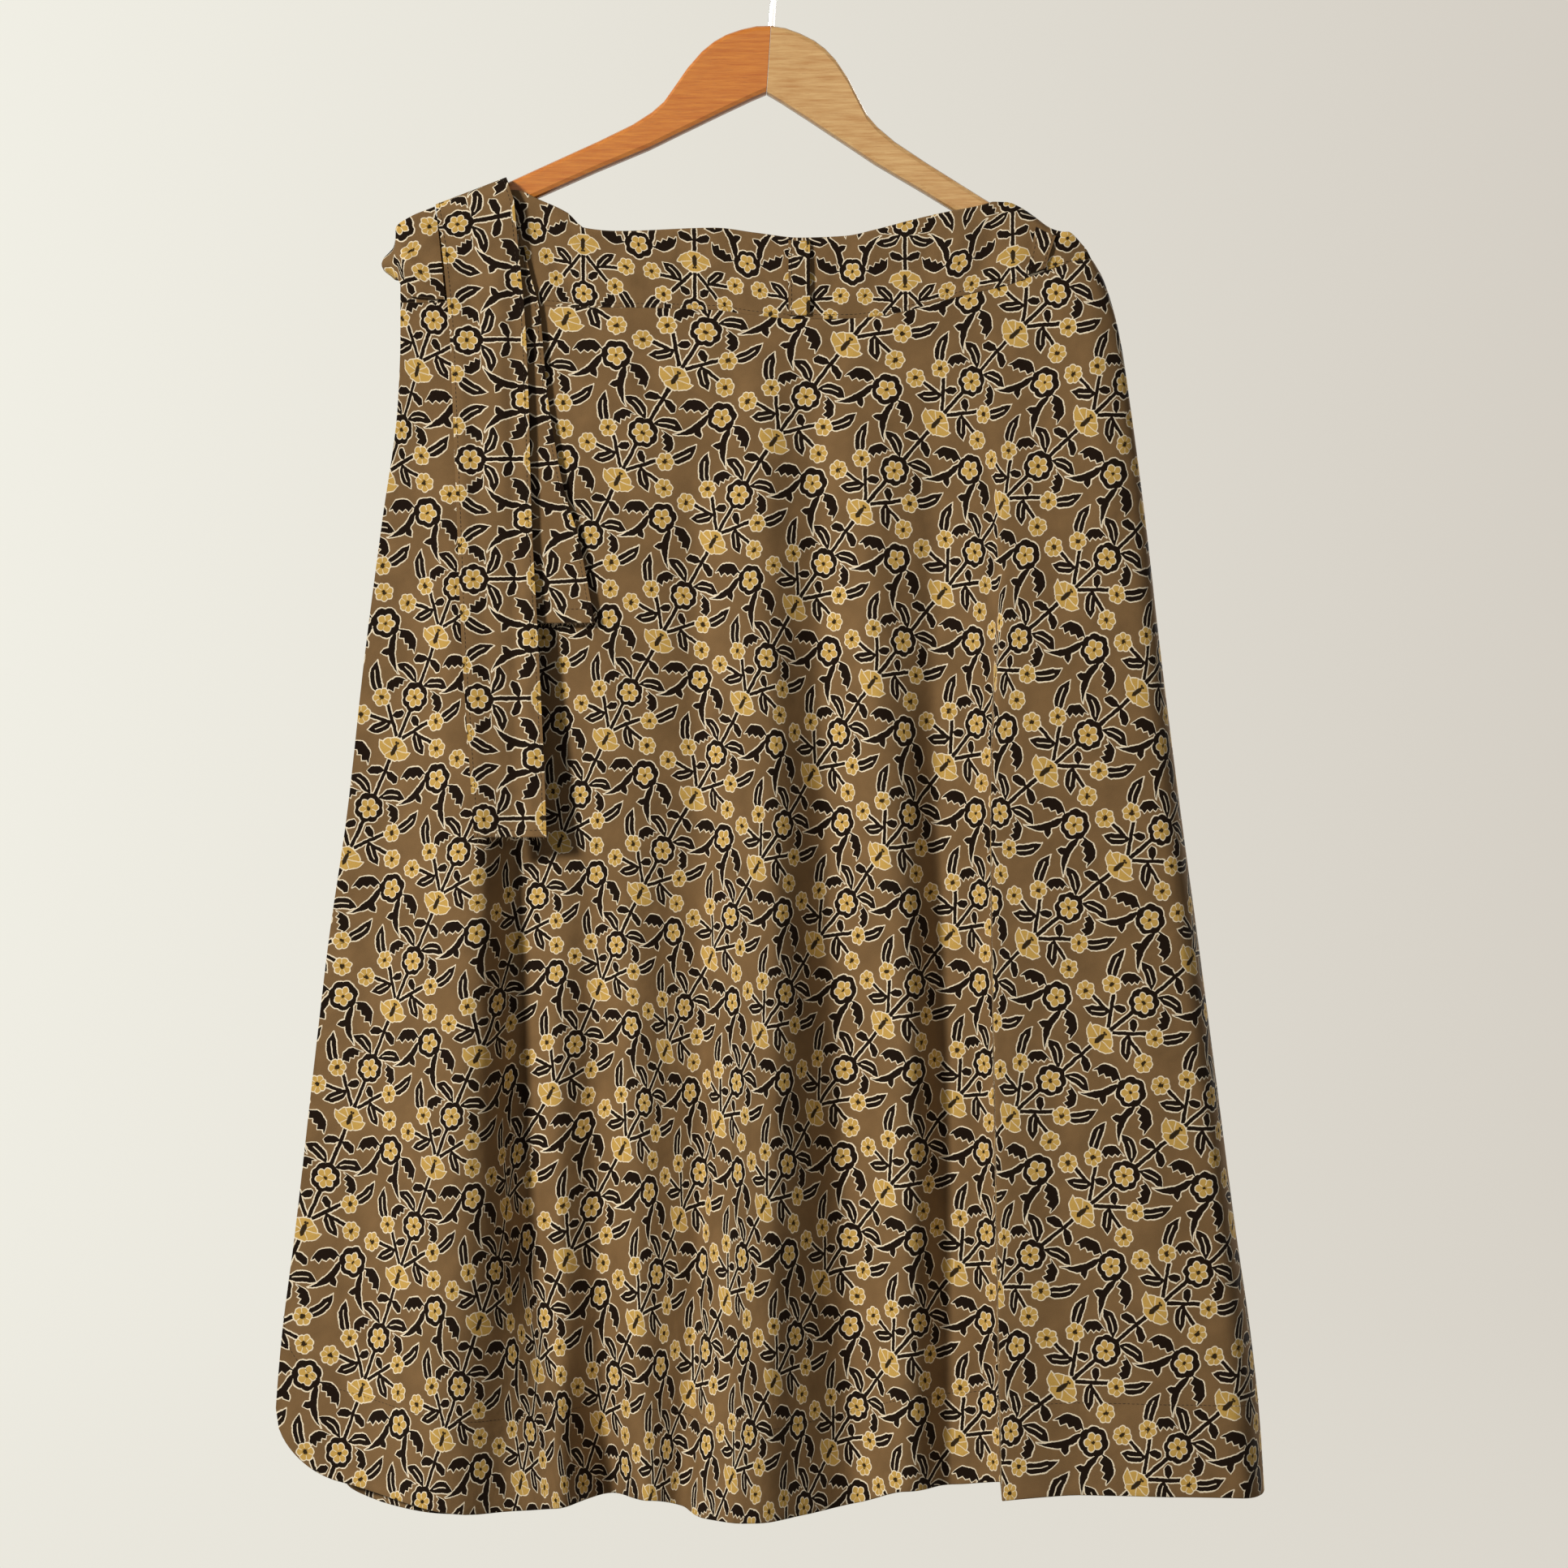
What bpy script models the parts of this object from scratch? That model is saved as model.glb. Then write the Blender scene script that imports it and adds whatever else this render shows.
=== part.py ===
"""A cotton wrap skirt that hangs on a two-piece wooden hanger.

X runs to the right and Y to the back. The origin is the seat of the hook, where it rests on
its rail, and a drop is a distance down from it. Sizes are in millimetres; MM makes them metres.
The overlap panel hangs in front with its free edge at the left, the underlap hangs behind it,
and the back panel joins both at the sides.
"""

import math
from bisect import bisect_right
from collections import namedtuple

import bmesh
import bpy
from mathutils import Matrix, Vector

MM = 0.001
SEAM_GAP = 0.3

PANEL_WALL = 1.5
BAND_WALL = 2.0
TIE_WALL = 1.6

BAND_FRONT_Y = -11.4
UNDERLAP_BAND_Y = -8.7
BACK_BAND_Y = 8.7
PANEL_STEP_IN = 0.4
BAND_HEIGHT = 48.0
UNDERLAP_BAND_LOWERED = 9.0

SEAM_DROP = 245.0
HEM_DROP = 973.0
FRONT_SWELL = 34.0
BACK_SWELL = 34.0
UNDERLAP_EXTRA = 6.0
UNDERLAP_FOLDS = 0.85
SWELL_POWER = 1.2

LEAN_HEIGHT = 8.0
LEAN_SHARE = 0.7

CORNER_WIDTH = 42.0
CORNER_HEIGHT = 33.0

WIRE_TILT = math.radians(2.8)
ARMS_TILT = math.radians(3.8)
HANGER_TOP_DROP = 75.0
HANGER_HALF_THICK = 6.0
HANGER_EDGE_RADIUS = 3.5
HANGER_MITRE_GAP = 0.15
WIRE_RADIUS = 2.0
HOOK_INNER_RADIUS = 19.0

Outline = namedtuple("Outline", "drop left right")
Waist = namedtuple("Waist", "x top seam lean")
Fold = namedtuple("Fold", "name x forward hem steps")
Rung = namedtuple("Rung", "left left_drop right right_drop")
Arm = namedtuple("Arm", "x top bottom")

# The skirt's silhouette from the front.
OUTLINE = (
    Outline(drop=209, left=-227.5, right=188.5),
    Outline(drop=217, left=-227.5, right=192.5),
    Outline(drop=228, left=-228.5, right=199),
    Outline(drop=263, left=-228.5, right=209),
    Outline(drop=305, left=-230, right=215.5),
    Outline(drop=378, left=-239.5, right=225),
    Outline(drop=461, left=-250, right=234.5),
    Outline(drop=553, left=-260, right=246),
    Outline(drop=631, left=-271, right=256.5),
    Outline(drop=701, left=-279, right=265.5),
    Outline(drop=806, left=-290.5, right=279),
    Outline(drop=872, left=-298.5, right=288.5),
    Outline(drop=920, left=-302, right=293.5),
    Outline(drop=968, left=-304, right=296.5),
)

# The fold at the left where the back turns into the underlap, inside the overlap's edge.
LEFT_FOLD = (
    (205, -224.0),
    (245, -225.5),
    (405, -235.0),
    (552, -243.0),
    (749, -253.0),
    (970, -263.5),
)

# The waistband's top edge and seam. It leans in over the hanger's arms where lean is 1.
WAIST = (
    Waist(x=-228.5, top=210, seam=243, lean=1),
    Waist(x=-218, top=200, seam=243, lean=1),
    Waist(x=-204, top=190, seam=243, lean=0),
    Waist(x=-190, top=184.5, seam=243, lean=0),
    Waist(x=-175, top=180, seam=243.5, lean=0),
    Waist(x=-159, top=176, seam=244, lean=0),
    Waist(x=-144, top=182, seam=245, lean=0),
    Waist(x=-127, top=190, seam=245.5, lean=0),
    Waist(x=-117, top=199, seam=246, lean=0),
    Waist(x=-97, top=201, seam=246, lean=0),
    Waist(x=-38, top=199, seam=247.5, lean=0),
    Waist(x=-13, top=202, seam=251, lean=0),
    Waist(x=14, top=205, seam=253, lean=0),
    Waist(x=41, top=204, seam=253, lean=0),
    Waist(x=60, top=200, seam=251.5, lean=0),
    Waist(x=79, top=195, seam=248, lean=0),
    Waist(x=100, top=190, seam=242, lean=0),
    Waist(x=123, top=185.5, seam=236.5, lean=0),
    Waist(x=132, top=183, seam=234.5, lean=0),
    Waist(x=140, top=181.5, seam=232.5, lean=0.9),
    Waist(x=148, top=184.5, seam=229.5, lean=1),
    Waist(x=157, top=190.5, seam=226, lean=1),
    Waist(x=165, top=196.5, seam=223, lean=1),
    Waist(x=171, top=199.5, seam=221, lean=0.5),
    Waist(x=178, top=201.5, seam=219, lean=0),
    Waist(x=187, top=210, seam=217.5, lean=0),
)

# The back band's seam, which runs down at the right to where the band ends on the side.
BACK_SEAM = (
    (-226, 247.0),
    (-160, 245.0),
    (-60, 248.0),
    (20, 250.0),
    (110, 247.0),
    (165, 250.0),
    (206, 258.0),
)

# Each fold line runs down through five drops, with how far it stands out from the panel there.
FOLD_DROPS = (248, 405, 552, 749, 970)

FRONT_FOLDS = (
    Fold("edge", None, (0, -2, -5, -9, -12), 944, 6),
    Fold("corner", (-214, -221, -235, -254, -258), (0, -2, -3, -4, -6), 955, 4),
    Fold("left_crest", (-193, -193, -179, -178, -171), (0, 2, 11, 19, 25), 969.5, 6),
    Fold("left_valley", (-151, -154, -156, -151, -108), (0, -2, -9, -16, -19), 966, 5),
    Fold("low_rise", (-92, -92, -92, -89, -76), (0, 2, 3, 4, 2), 964, 3),
    Fold("low_valley", (-55, -52, -49, -47, -58), (0, -1, -4, -8, -8), 968, 3),
    Fold("steep_top", (-38, -36, -33, -35, -45), (0, 2, 5, 10, 10), 972, 3),
    Fold("middle_crest", (-13, -9, -4, -3, -11), (0, 6, 12, 20, 22), 973, 5),
    Fold("middle_valley", (16, 21, 27, 38, 43), (0, -6, -11, -17, -15), 968, 4),
    Fold("right_crest", (46, 51, 61, 69, 69), (0, 3, 7, 6, 3), 958, 3),
    Fold("right_valley", (80, 84, 89, 94, 96), (0, -4, -9, -12, -12), 957.5, 4),
    Fold("fold_root", (117, 130, 129, 131, 134), (0, -2, -6, -7, -6), 954, 3),
    Fold("fold_lip", (134, 138, 129, 131, 134), (0, 2, 8, 12, 14), 961.5, 4),
    Fold("right_flat", (160, 168, 172, 176, 180), (0, 1, 8, 12, 13), 959, 4),
    Fold("right_turn", (187, 211, 227, 249, 267), (-1, -2, -2, -1, 0), 961.5, 5),
    Fold("side_seam", None, None, 963.5, 0),
)

UNDERLAP_FOLLOWS = ("left_crest", "left_valley", "low_rise", "low_valley", "steep_top",
                    "middle_crest", "middle_valley")
UNDERLAP_TURN = Fold("turn", (-214, -220, -225, -232, -241), (-1, -2, -3, -4, -6), 966, 5)
UNDERLAP_FREE_EDGE = Fold("free_edge", (52, 54, 60, 68, 72), (0, 2, 3, 3, 2), 958, 0)
UNDERLAP_STEPS = 4

BACK_FOLDS = (
    Fold("left_fold", None, None, 962, 5),
    Fold("left_turn", (-211, -218, -226, -232, -238), (0, -1, -3, -3, -3), 964, 4),
    Fold("crest_1", (-180, -184, -187, -190, -192), (0, 2, 5, 9, 12), 968, 4),
    Fold("valley_1", (-132, -134, -136, -139, -141), (0, -2, -5, -8, -10), 961, 4),
    Fold("crest_2", (-84, -84, -86, -88, -88), (0, 2, 5, 9, 12), 967, 4),
    Fold("valley_2", (-30, -29, -28, -27, -25), (0, -3, -6, -9, -11), 959, 4),
    Fold("crest_3", (26, 28, 31, 35, 38), (0, 2, 5, 8, 9), 965, 4),
    Fold("valley_3", (78, 83, 88, 94, 98), (0, -2, -5, -9, -12), 957, 4),
    Fold("crest_4", (126, 134, 142, 152, 158), (0, 2, 6, 10, 13), 966, 4),
    Fold("right_turn", (192, 200, 209, 225, 236), (0, -1, -3, -2, -2), 964, 5),
    Fold("side_seam", None, None, 962, 0),
)

LONG_TIE = (
    Rung(left=-205, left_drop=195, right=-159, right_drop=183),
    Rung(left=-203, left_drop=208, right=-157, right_drop=206),
    Rung(left=-198, left_drop=261, right=-152, right_drop=261),
    Rung(left=-196, left_drop=305, right=-150, right_drop=305),
    Rung(left=-193, left_drop=375, right=-148, right_drop=375),
    Rung(left=-190, left_drop=444, right=-144, right_drop=444),
    Rung(left=-183, left_drop=539, right=-139, right_drop=539),
    Rung(left=-181, left_drop=567, right=-138, right_drop=567),
)
LONG_TIE_CREST = Rung(left=-207, left_drop=183.5, right=-164.5, right_drop=167)
LONG_TIE_BACK_LENGTH = 62.0
LONG_TIE_BACK_Y = 11.2
LONG_TIE_OUT = 4.4
ARCH_SQUARENESS = 0.67
TIE_FLATNESS = 0.75

SHORT_TIE = (
    Rung(left=-194, left_drop=206, right=-155, right_drop=203),
    Rung(left=-191, left_drop=232, right=-149, right_drop=229),
    Rung(left=-188, left_drop=252, right=-144, right_drop=248),
    Rung(left=-185, left_drop=303, right=-139, right_drop=300),
    Rung(left=-175, left_drop=361, right=-129, right_drop=357),
    Rung(left=-167, left_drop=391, right=-120, right_drop=387),
    Rung(left=-156, left_drop=438, right=-110, right_drop=438),
)
SHORT_TIE_OUT = 2.3
SHORT_TIE_FLATNESS = 0.5

TIE_FOLD_Y = -13.6
TIE_FOLD_BACK_Y = 11.2
TIE_FOLD_TIP = ((205, -234.5), (209, -236.0), (218, -240.0), (222, -237.5), (227, -231.0))

# The outline of one hanger arm in the hanger's own frame, from the mitre joint outwards.
ARM = (
    Arm(x=0.0, top=-1.0, bottom=40.5),
    Arm(x=9.0, top=-0.2, bottom=45.0),
    Arm(x=18.0, top=2.4, bottom=50.0),
    Arm(x=27.0, top=6.2, bottom=55.0),
    Arm(x=34.0, top=10.8, bottom=59.0),
    Arm(x=41.0, top=17.3, bottom=63.0),
    Arm(x=49.0, top=27.8, bottom=67.5),
    Arm(x=56.0, top=39.5, bottom=71.5),
    Arm(x=62.0, top=49.3, bottom=75.0),
    Arm(x=69.0, top=56.3, bottom=79.0),
    Arm(x=80.0, top=64.5, bottom=84.5),
    Arm(x=100.0, top=76.0, bottom=94.5),
    Arm(x=140.0, top=97.5, bottom=115.5),
    Arm(x=175.0, top=116.5, bottom=134.0),
    Arm(x=188.0, top=124.5, bottom=140.0),
    Arm(x=193.0, top=129.5, bottom=141.0),
    Arm(x=195.0, top=134.0, bottom=139.5),
)
ARM_END_HALF_THICK = 3.0
ARM_END_STARTS = 188.0

COTTON_BROWN = (0.18, 0.11, 0.05, 1.0)
COTTON_DARK = (0.15, 0.09, 0.04, 1.0)
WOOD_RED = (0.45, 0.14, 0.03, 1.0)
WOOD_TAN = (0.62, 0.36, 0.14, 1.0)
STEEL = (0.6, 0.6, 0.6, 1.0)


# --- curves -------------------------------------------------------------------------------


def slopes_of(knots, values):
    """The slope at each knot, flat at every crest and valley, so that a curve never overshoots."""
    rises = [(b - a) / (q - p) for p, q, a, b in zip(knots, knots[1:], values, values[1:])]
    slopes = [rises[0]]
    for before, after in zip(rises, rises[1:]):
        if before * after <= 0:
            slopes.append(0.0)
        else:
            slopes.append(2 * before * after / (before + after))
    return slopes + [rises[-1]]


def hermite(a, b, slope_a, slope_b, s):
    ease = s * s * (3 - 2 * s)
    return a + (b - a) * ease + slope_a * s * (1 - s) ** 2 - slope_b * s * s * (1 - s)


def curve(knots, values):
    """A function that runs smoothly through the values, and stays level past the last of them."""
    slopes = slopes_of(knots, values)

    def at(position):
        position = min(max(position, knots[0]), knots[-1])
        i = min(bisect_right(knots, position) - 1, len(knots) - 2)
        span = knots[i + 1] - knots[i]
        s = (position - knots[i]) / span
        return hermite(values[i], values[i + 1], slopes[i] * span, slopes[i + 1] * span, s)

    return at


def mix(a, b, s):
    return a + (b - a) * s


def column_curve(rows, key, column):
    return curve([getattr(row, key) for row in rows], [getattr(row, column) for row in rows])


outline_left = column_curve(OUTLINE, "drop", "left")
outline_right = column_curve(OUTLINE, "drop", "right")
left_fold = curve([drop for drop, x in LEFT_FOLD], [x for drop, x in LEFT_FOLD])
waist_top = column_curve(WAIST, "x", "top")
waist_seam = column_curve(WAIST, "x", "seam")
waist_lean = column_curve(WAIST, "x", "lean")
back_seam = curve([x for x, drop in BACK_SEAM], [drop for x, drop in BACK_SEAM])


def swell(drop):
    """How far the skirt has filled out at this drop, from 0 at the waist to 1 at the hem."""
    return min(max((drop - SEAM_DROP) / (HEM_DROP - SEAM_DROP), 0.0), 1.0) ** SWELL_POWER


def front_y(drop):
    return BAND_FRONT_Y + PANEL_STEP_IN - FRONT_SWELL * swell(drop)


def underlap_y(drop):
    filled = swell(drop)
    return UNDERLAP_BAND_Y + (UNDERLAP_EXTRA - FRONT_SWELL) * filled


def back_y(drop):
    return BACK_BAND_Y - PANEL_STEP_IN + BACK_SWELL * swell(drop)


# --- hanging cloth ------------------------------------------------------------------------

Station = namedtuple("Station", "x y hem steps")


class Cloth:
    """A hanging piece that runs through stations from left to right, between two lines."""

    def __init__(self, stations, upper, lower, round_left=False, round_right=False, leans=False):
        self.stations = stations
        self.upper = upper
        self.lower = lower
        self.round_left = round_left
        self.round_right = round_right
        self.leans = leans

    def plan(self, column, drop):
        """X and Y at this column of the piece, where whole columns are the stations."""
        i = min(int(column), len(self.stations) - 2)
        xs = [station.x(drop) for station in self.stations]
        ys = [station.y(drop) for station in self.stations]
        steps = range(len(xs))
        x_slopes = slopes_of(steps, xs)
        y_slopes = slopes_of(steps, ys)
        if self.round_left:
            x_slopes[0] = 0.0
            y_slopes[0] *= 1.6
        if self.round_right:
            x_slopes[-1] = 0.0
            y_slopes[-1] *= 1.6
        s = column - i
        x = hermite(xs[i], xs[i + 1], x_slopes[i], x_slopes[i + 1], s)
        y = hermite(ys[i], ys[i + 1], y_slopes[i], y_slopes[i + 1], s)
        return x, y

    def point(self, column, share):
        """The outer surface at this share of the way down from the upper line."""
        top = self.upper(self, column)
        drop = mix(top, self.lower(self, column), share)
        x, y = self.plan(column, drop)
        over = 1 - (drop - top) / LEAN_HEIGHT
        if self.leans and over > 0:
            y *= 1 - LEAN_SHARE * waist_lean(x) * (1 - math.sqrt(1 - over * over))
        return Vector((x, y, -drop))

    def columns(self):
        places = []
        for i, station in enumerate(self.stations[:-1]):
            places += [i + k / station.steps for k in range(station.steps)]
        return places + [len(self.stations) - 1]

    def grid(self, shares):
        return [[self.point(column, share) for column in self.columns()] for share in shares]


def on_line(line, lowered=0.0):
    """An upper or lower line given by X: the drop where the piece's column meets the line."""

    def drop_at(cloth, column):
        drop = SEAM_DROP
        for _ in range(4):
            drop = line(cloth.plan(column, drop)[0]) + lowered
        return drop

    return drop_at


def hem_line(cloth, column):
    hems = [station.hem for station in cloth.stations]
    return curve(range(len(hems)), hems)(column)


def rounded_hem(cloth, column):
    """The hem of the overlap, with a quarter of an ellipse at its free corner."""
    drop = hem_line(cloth, column)
    across = cloth.plan(column, drop)[0] - outline_left(drop)
    past = 1 - min(across / CORNER_WIDTH, 1.0)
    return drop + CORNER_HEIGHT * (math.sqrt(max(1 - past * past, 0.0)) - 1)


def station(fold, centre, outwards, x=None, y=None):
    """A station on a fold line: centre is the panel's depth, and outwards turns it to a side."""
    if y is None:
        stands = curve(FOLD_DROPS, fold.forward)

        def y(drop):
            return centre(drop) + outwards * stands(drop)

    return Station(x or curve(FOLD_DROPS, fold.x), y, fold.hem, fold.steps)


def steady(value):
    return lambda drop: value


def front_cloth():
    stations = [station(FRONT_FOLDS[0], front_y, -1, x=outline_left)]
    stations += [station(fold, front_y, -1) for fold in FRONT_FOLDS[1:-1]]
    seam_y = steady(-SEAM_GAP / 2)
    stations.append(station(FRONT_FOLDS[-1], front_y, -1, x=outline_right, y=seam_y))
    return Cloth(stations, on_line(waist_seam, SEAM_GAP), rounded_hem, round_right=True)


def underlap_cloth():
    left = Fold("left_fold", None, None, 959, UNDERLAP_STEPS)
    stations = [station(left, underlap_y, -1, x=left_fold, y=steady(-SEAM_GAP / 2))]
    stations.append(station(UNDERLAP_TURN, underlap_y, -1))
    for fold in FRONT_FOLDS:
        if fold.name in UNDERLAP_FOLLOWS:
            forward = [UNDERLAP_FOLDS * stands for stands in fold.forward]
            calmer = fold._replace(forward=forward, hem=fold.hem + 1, steps=UNDERLAP_STEPS)
            stations.append(station(calmer, underlap_y, -1))
    stations.append(station(UNDERLAP_FREE_EDGE, underlap_y, -1))
    return Cloth(stations, on_line(waist_seam, SEAM_GAP), hem_line, round_left=True)


def back_cloth():
    seam_y = steady(SEAM_GAP / 2)
    stations = [station(BACK_FOLDS[0], back_y, 1, x=left_fold, y=seam_y)]
    stations += [station(fold, back_y, 1) for fold in BACK_FOLDS[1:-1]]
    stations.append(station(BACK_FOLDS[-1], back_y, 1, x=outline_right, y=seam_y))
    upper = on_line(back_seam, SEAM_GAP)
    return Cloth(stations, upper, hem_line, round_left=True, round_right=True)


BAND_TURN = 14.0
BAND_PITCH = 9.0


def band_stations(y, left, right, left_y=None, right_y=None):
    """Even stations along a flat waistband, with a turn at each end that has a seam."""
    stations = []
    first = left(SEAM_DROP - BAND_HEIGHT / 2) + BAND_TURN
    last = right(SEAM_DROP - BAND_HEIGHT / 2) - BAND_TURN
    count = round((last - first) / BAND_PITCH)
    stations.append(Station(left, steady(y if left_y is None else left_y), 0, 4))
    for k in range(count + 1):
        steps = 1 if k < count else 4
        stations.append(Station(steady(mix(first, last, k / count)), steady(y), 0, steps))
    stations.append(Station(right, steady(y if right_y is None else right_y), 0, 0))
    return stations


def front_band():
    stations = band_stations(BAND_FRONT_Y, outline_left, steady(WAIST[-1].x), right_y=-8.0)
    return Cloth(stations, on_line(waist_top), on_line(waist_seam), leans=True)


def underlap_band():
    edge = steady(UNDERLAP_FREE_EDGE.x[0])
    stations = band_stations(UNDERLAP_BAND_Y, left_fold, edge, left_y=-SEAM_GAP / 2)
    upper = on_line(waist_top, UNDERLAP_BAND_LOWERED)
    return Cloth(stations, upper, on_line(waist_seam), round_left=True)


def back_band():
    side = SEAM_GAP / 2
    stations = band_stations(BACK_BAND_Y, left_fold, outline_right, left_y=side, right_y=side)
    return Cloth(stations, on_line(waist_top), on_line(back_seam), True, True, leans=True)


# --- ties and loops -----------------------------------------------------------------------


def surface_y(cloth, x, drop):
    """The depth of the front's outer surface at this place, on the band or on the panel."""
    if drop < waist_seam(x):
        return BAND_FRONT_Y
    low, high = 0.0, len(cloth.stations) - 1.0
    for _ in range(16):
        middle = (low + high) / 2
        if cloth.plan(middle, drop)[0] < x:
            low = middle
        else:
            high = middle
    return cloth.plan(low, drop)[1]


def lying_strip(cloth, rungs, out, flatness, across, down):
    """A strip that lies flat over the front's folds, a row for each step down its rungs."""
    steps = range(len(rungs))
    ends = [curve(steps, [getattr(rung, key) for rung in rungs]) for key in Rung._fields]
    rows = []
    for k in range(down + 1):
        left, left_drop, right, right_drop = (end(k * (len(rungs) - 1) / down) for end in ends)
        row = []
        for j in range(across + 1):
            x = mix(left, right, j / across)
            drop = mix(left_drop, right_drop, j / across)
            row.append((x, drop, surface_y(cloth, x, drop)))
        foremost = min(y for x, drop, y in row)
        rows.append([Vector((x, mix(y, foremost, flatness) - out, -drop)) for x, drop, y in row])
    return rows


def long_tie_grid(cloth, across=6, down=22, arch=5, behind=4):
    """Up the back of the waist, over the left corner and down the front."""
    front = lying_strip(cloth, LONG_TIE, LONG_TIE_OUT, TIE_FLATNESS, across, down)
    crest = LONG_TIE_CREST
    half = (LONG_TIE_BACK_Y - front[0][0].y) / 2
    rows = []
    for k in range(behind + 1):
        low = LONG_TIE_BACK_LENGTH * (1 - k / behind)
        row = []
        for j in range(across + 1):
            x = mix(crest.left, crest.right, j / across)
            crest_drop = mix(crest.left_drop, crest.right_drop, j / across)
            row.append(Vector((x, LONG_TIE_BACK_Y, -(crest_drop + half * 0.8 + low))))
        rows.append(row)
    for k in range(1, 2 * arch):
        angle = math.pi * k / (2 * arch)
        rise = math.sin(angle) ** ARCH_SQUARENESS
        run = math.copysign(abs(math.cos(angle)) ** ARCH_SQUARENESS, math.cos(angle))
        row = []
        for j in range(across + 1):
            back, start = rows[behind][j], front[0][j]
            foot = back if run > 0 else start
            crest_x = mix(crest.left, crest.right, j / across)
            crest_z = -mix(crest.left_drop, crest.right_drop, j / across)
            row.append(Vector((mix(foot.x, crest_x, rise),
                               LONG_TIE_BACK_Y - half * (1 - run),
                               mix(foot.z, crest_z, rise))))
        rows.append(row)
    return rows + front


def tie_fold_cloth():
    tip = curve([drop for drop, x in TIE_FOLD_TIP], [x for drop, x in TIE_FOLD_TIP])
    front_edge = curve([186, 195, 208, 242], [-208.2, -206.2, -204.4, -201.0])
    tops = (194, 200, 208, 199, 193, 186.5)
    bottoms = (225, 226, 227, 227.5, 239, 241.5)
    xs = (steady(-210), steady(-225), tip, steady(-230), steady(-223), front_edge)
    ys = (TIE_FOLD_BACK_Y, TIE_FOLD_BACK_Y - 1, 0.0, -11.0, TIE_FOLD_Y, TIE_FOLD_Y)
    stations = [Station(x, steady(y), 0, 3) for x, y in zip(xs, ys)]

    def upper(cloth, column):
        return curve(range(len(tops)), tops)(column)

    def lower(cloth, column):
        return curve(range(len(bottoms)), bottoms)(column)

    return Cloth(stations, upper, lower)


def loop_grid(band, places, top, foot, across=2, down=8):
    """A belt loop: a narrow strap on the band that stands off it between its two ends."""
    rows = []
    for k in range(down + 1):
        share = mix(top, foot, k / down)
        bow = 1.2 * math.sin(math.pi * k / down)
        row = []
        for j in range(across + 1):
            x = mix(mix(places[0], places[1], j / across), mix(places[2], places[3], j / across),
                    k / down)
            point = band_point_at(band, x, share)
            row.append(point + Vector((0, -(SEAM_GAP + 0.1 + TIE_WALL + bow), 0)))
        rows.append(row)
    return rows


def band_point_at(band, x, share):
    low, high = 0.0, len(band.stations) - 1.0
    for _ in range(16):
        middle = (low + high) / 2
        if band.point(middle, share).x < x:
            low = middle
        else:
            high = middle
    return band.point(low, share)


# --- solids -------------------------------------------------------------------------------


def principled(name, colour, roughness, metallic=0.0):
    material = bpy.data.materials.new(name)
    material.use_nodes = True
    shader = material.node_tree.nodes["Principled BSDF"]
    shader.inputs["Base Color"].default_value = colour
    shader.inputs["Roughness"].default_value = roughness
    shader.inputs["Metallic"].default_value = metallic
    return material


def add_object(name, points, faces, material):
    mesh = bpy.data.meshes.new(name)
    mesh.from_pydata([point * MM for point in points], [], faces)
    work = bmesh.new()
    work.from_mesh(mesh)
    bmesh.ops.recalc_face_normals(work, faces=work.faces)
    work.to_mesh(mesh)
    work.free()
    mesh.shade_smooth()
    mesh.set_sharp_from_angle(angle=math.radians(40))
    mesh.materials.append(material)
    obj = bpy.data.objects.new(name, mesh)
    bpy.context.collection.objects.link(obj)
    return obj


def inner_points(grid, thickness, side_left=None, side_right=None):
    """The far side of the wall: each point moved by the thickness along the surface's normal."""
    rows, columns = len(grid), len(grid[0])
    inner = []
    for r in range(rows):
        row = []
        for c in range(columns):
            across = grid[r][min(c + 1, columns - 1)] - grid[r][max(c - 1, 0)]
            down = grid[min(r + 1, rows - 1)][c] - grid[max(r - 1, 0)][c]
            normal = across.cross(down).normalized()
            if c == 0 and side_left is not None:
                normal = side_left
            if c == columns - 1 and side_right is not None:
                normal = side_right
            row.append(grid[r][c] + normal * thickness)
        inner.append(row)
    return inner


def add_wall(name, grid, thickness, material, side_left=None, side_right=None):
    """A closed cloth wall on a grid of outer points. A negative thickness goes the other way."""
    rows, columns = len(grid), len(grid[0])
    inner = inner_points(grid, thickness, side_left, side_right)
    points = [point for row in grid + inner for point in row]
    inside = rows * columns
    faces = []
    for r in range(rows - 1):
        for c in range(columns - 1):
            a = r * columns + c
            b, d, e = a + 1, a + columns, a + columns + 1
            faces.append((a, d, e, b))
            faces.append((a + inside, b + inside, e + inside, d + inside))
    for r in range(rows - 1):
        for c in (0, columns - 1):
            a, d = r * columns + c, (r + 1) * columns + c
            faces.append((a, d, d + inside, a + inside))
    for c in range(columns - 1):
        for r in (0, rows - 1):
            a = r * columns + c
            faces.append((a, a + 1, a + 1 + inside, a + inside))
    return add_object(name, points, faces, material)


def even(count):
    return [k / count for k in range(count + 1)]


def band_shares():
    """Rows of a band from its top, closer together where it leans over."""
    lean = LEAN_HEIGHT / BAND_HEIGHT
    return [0.0, 0.15 * lean, 0.4 * lean, lean, 0.4, 0.7, 1.0]


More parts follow.
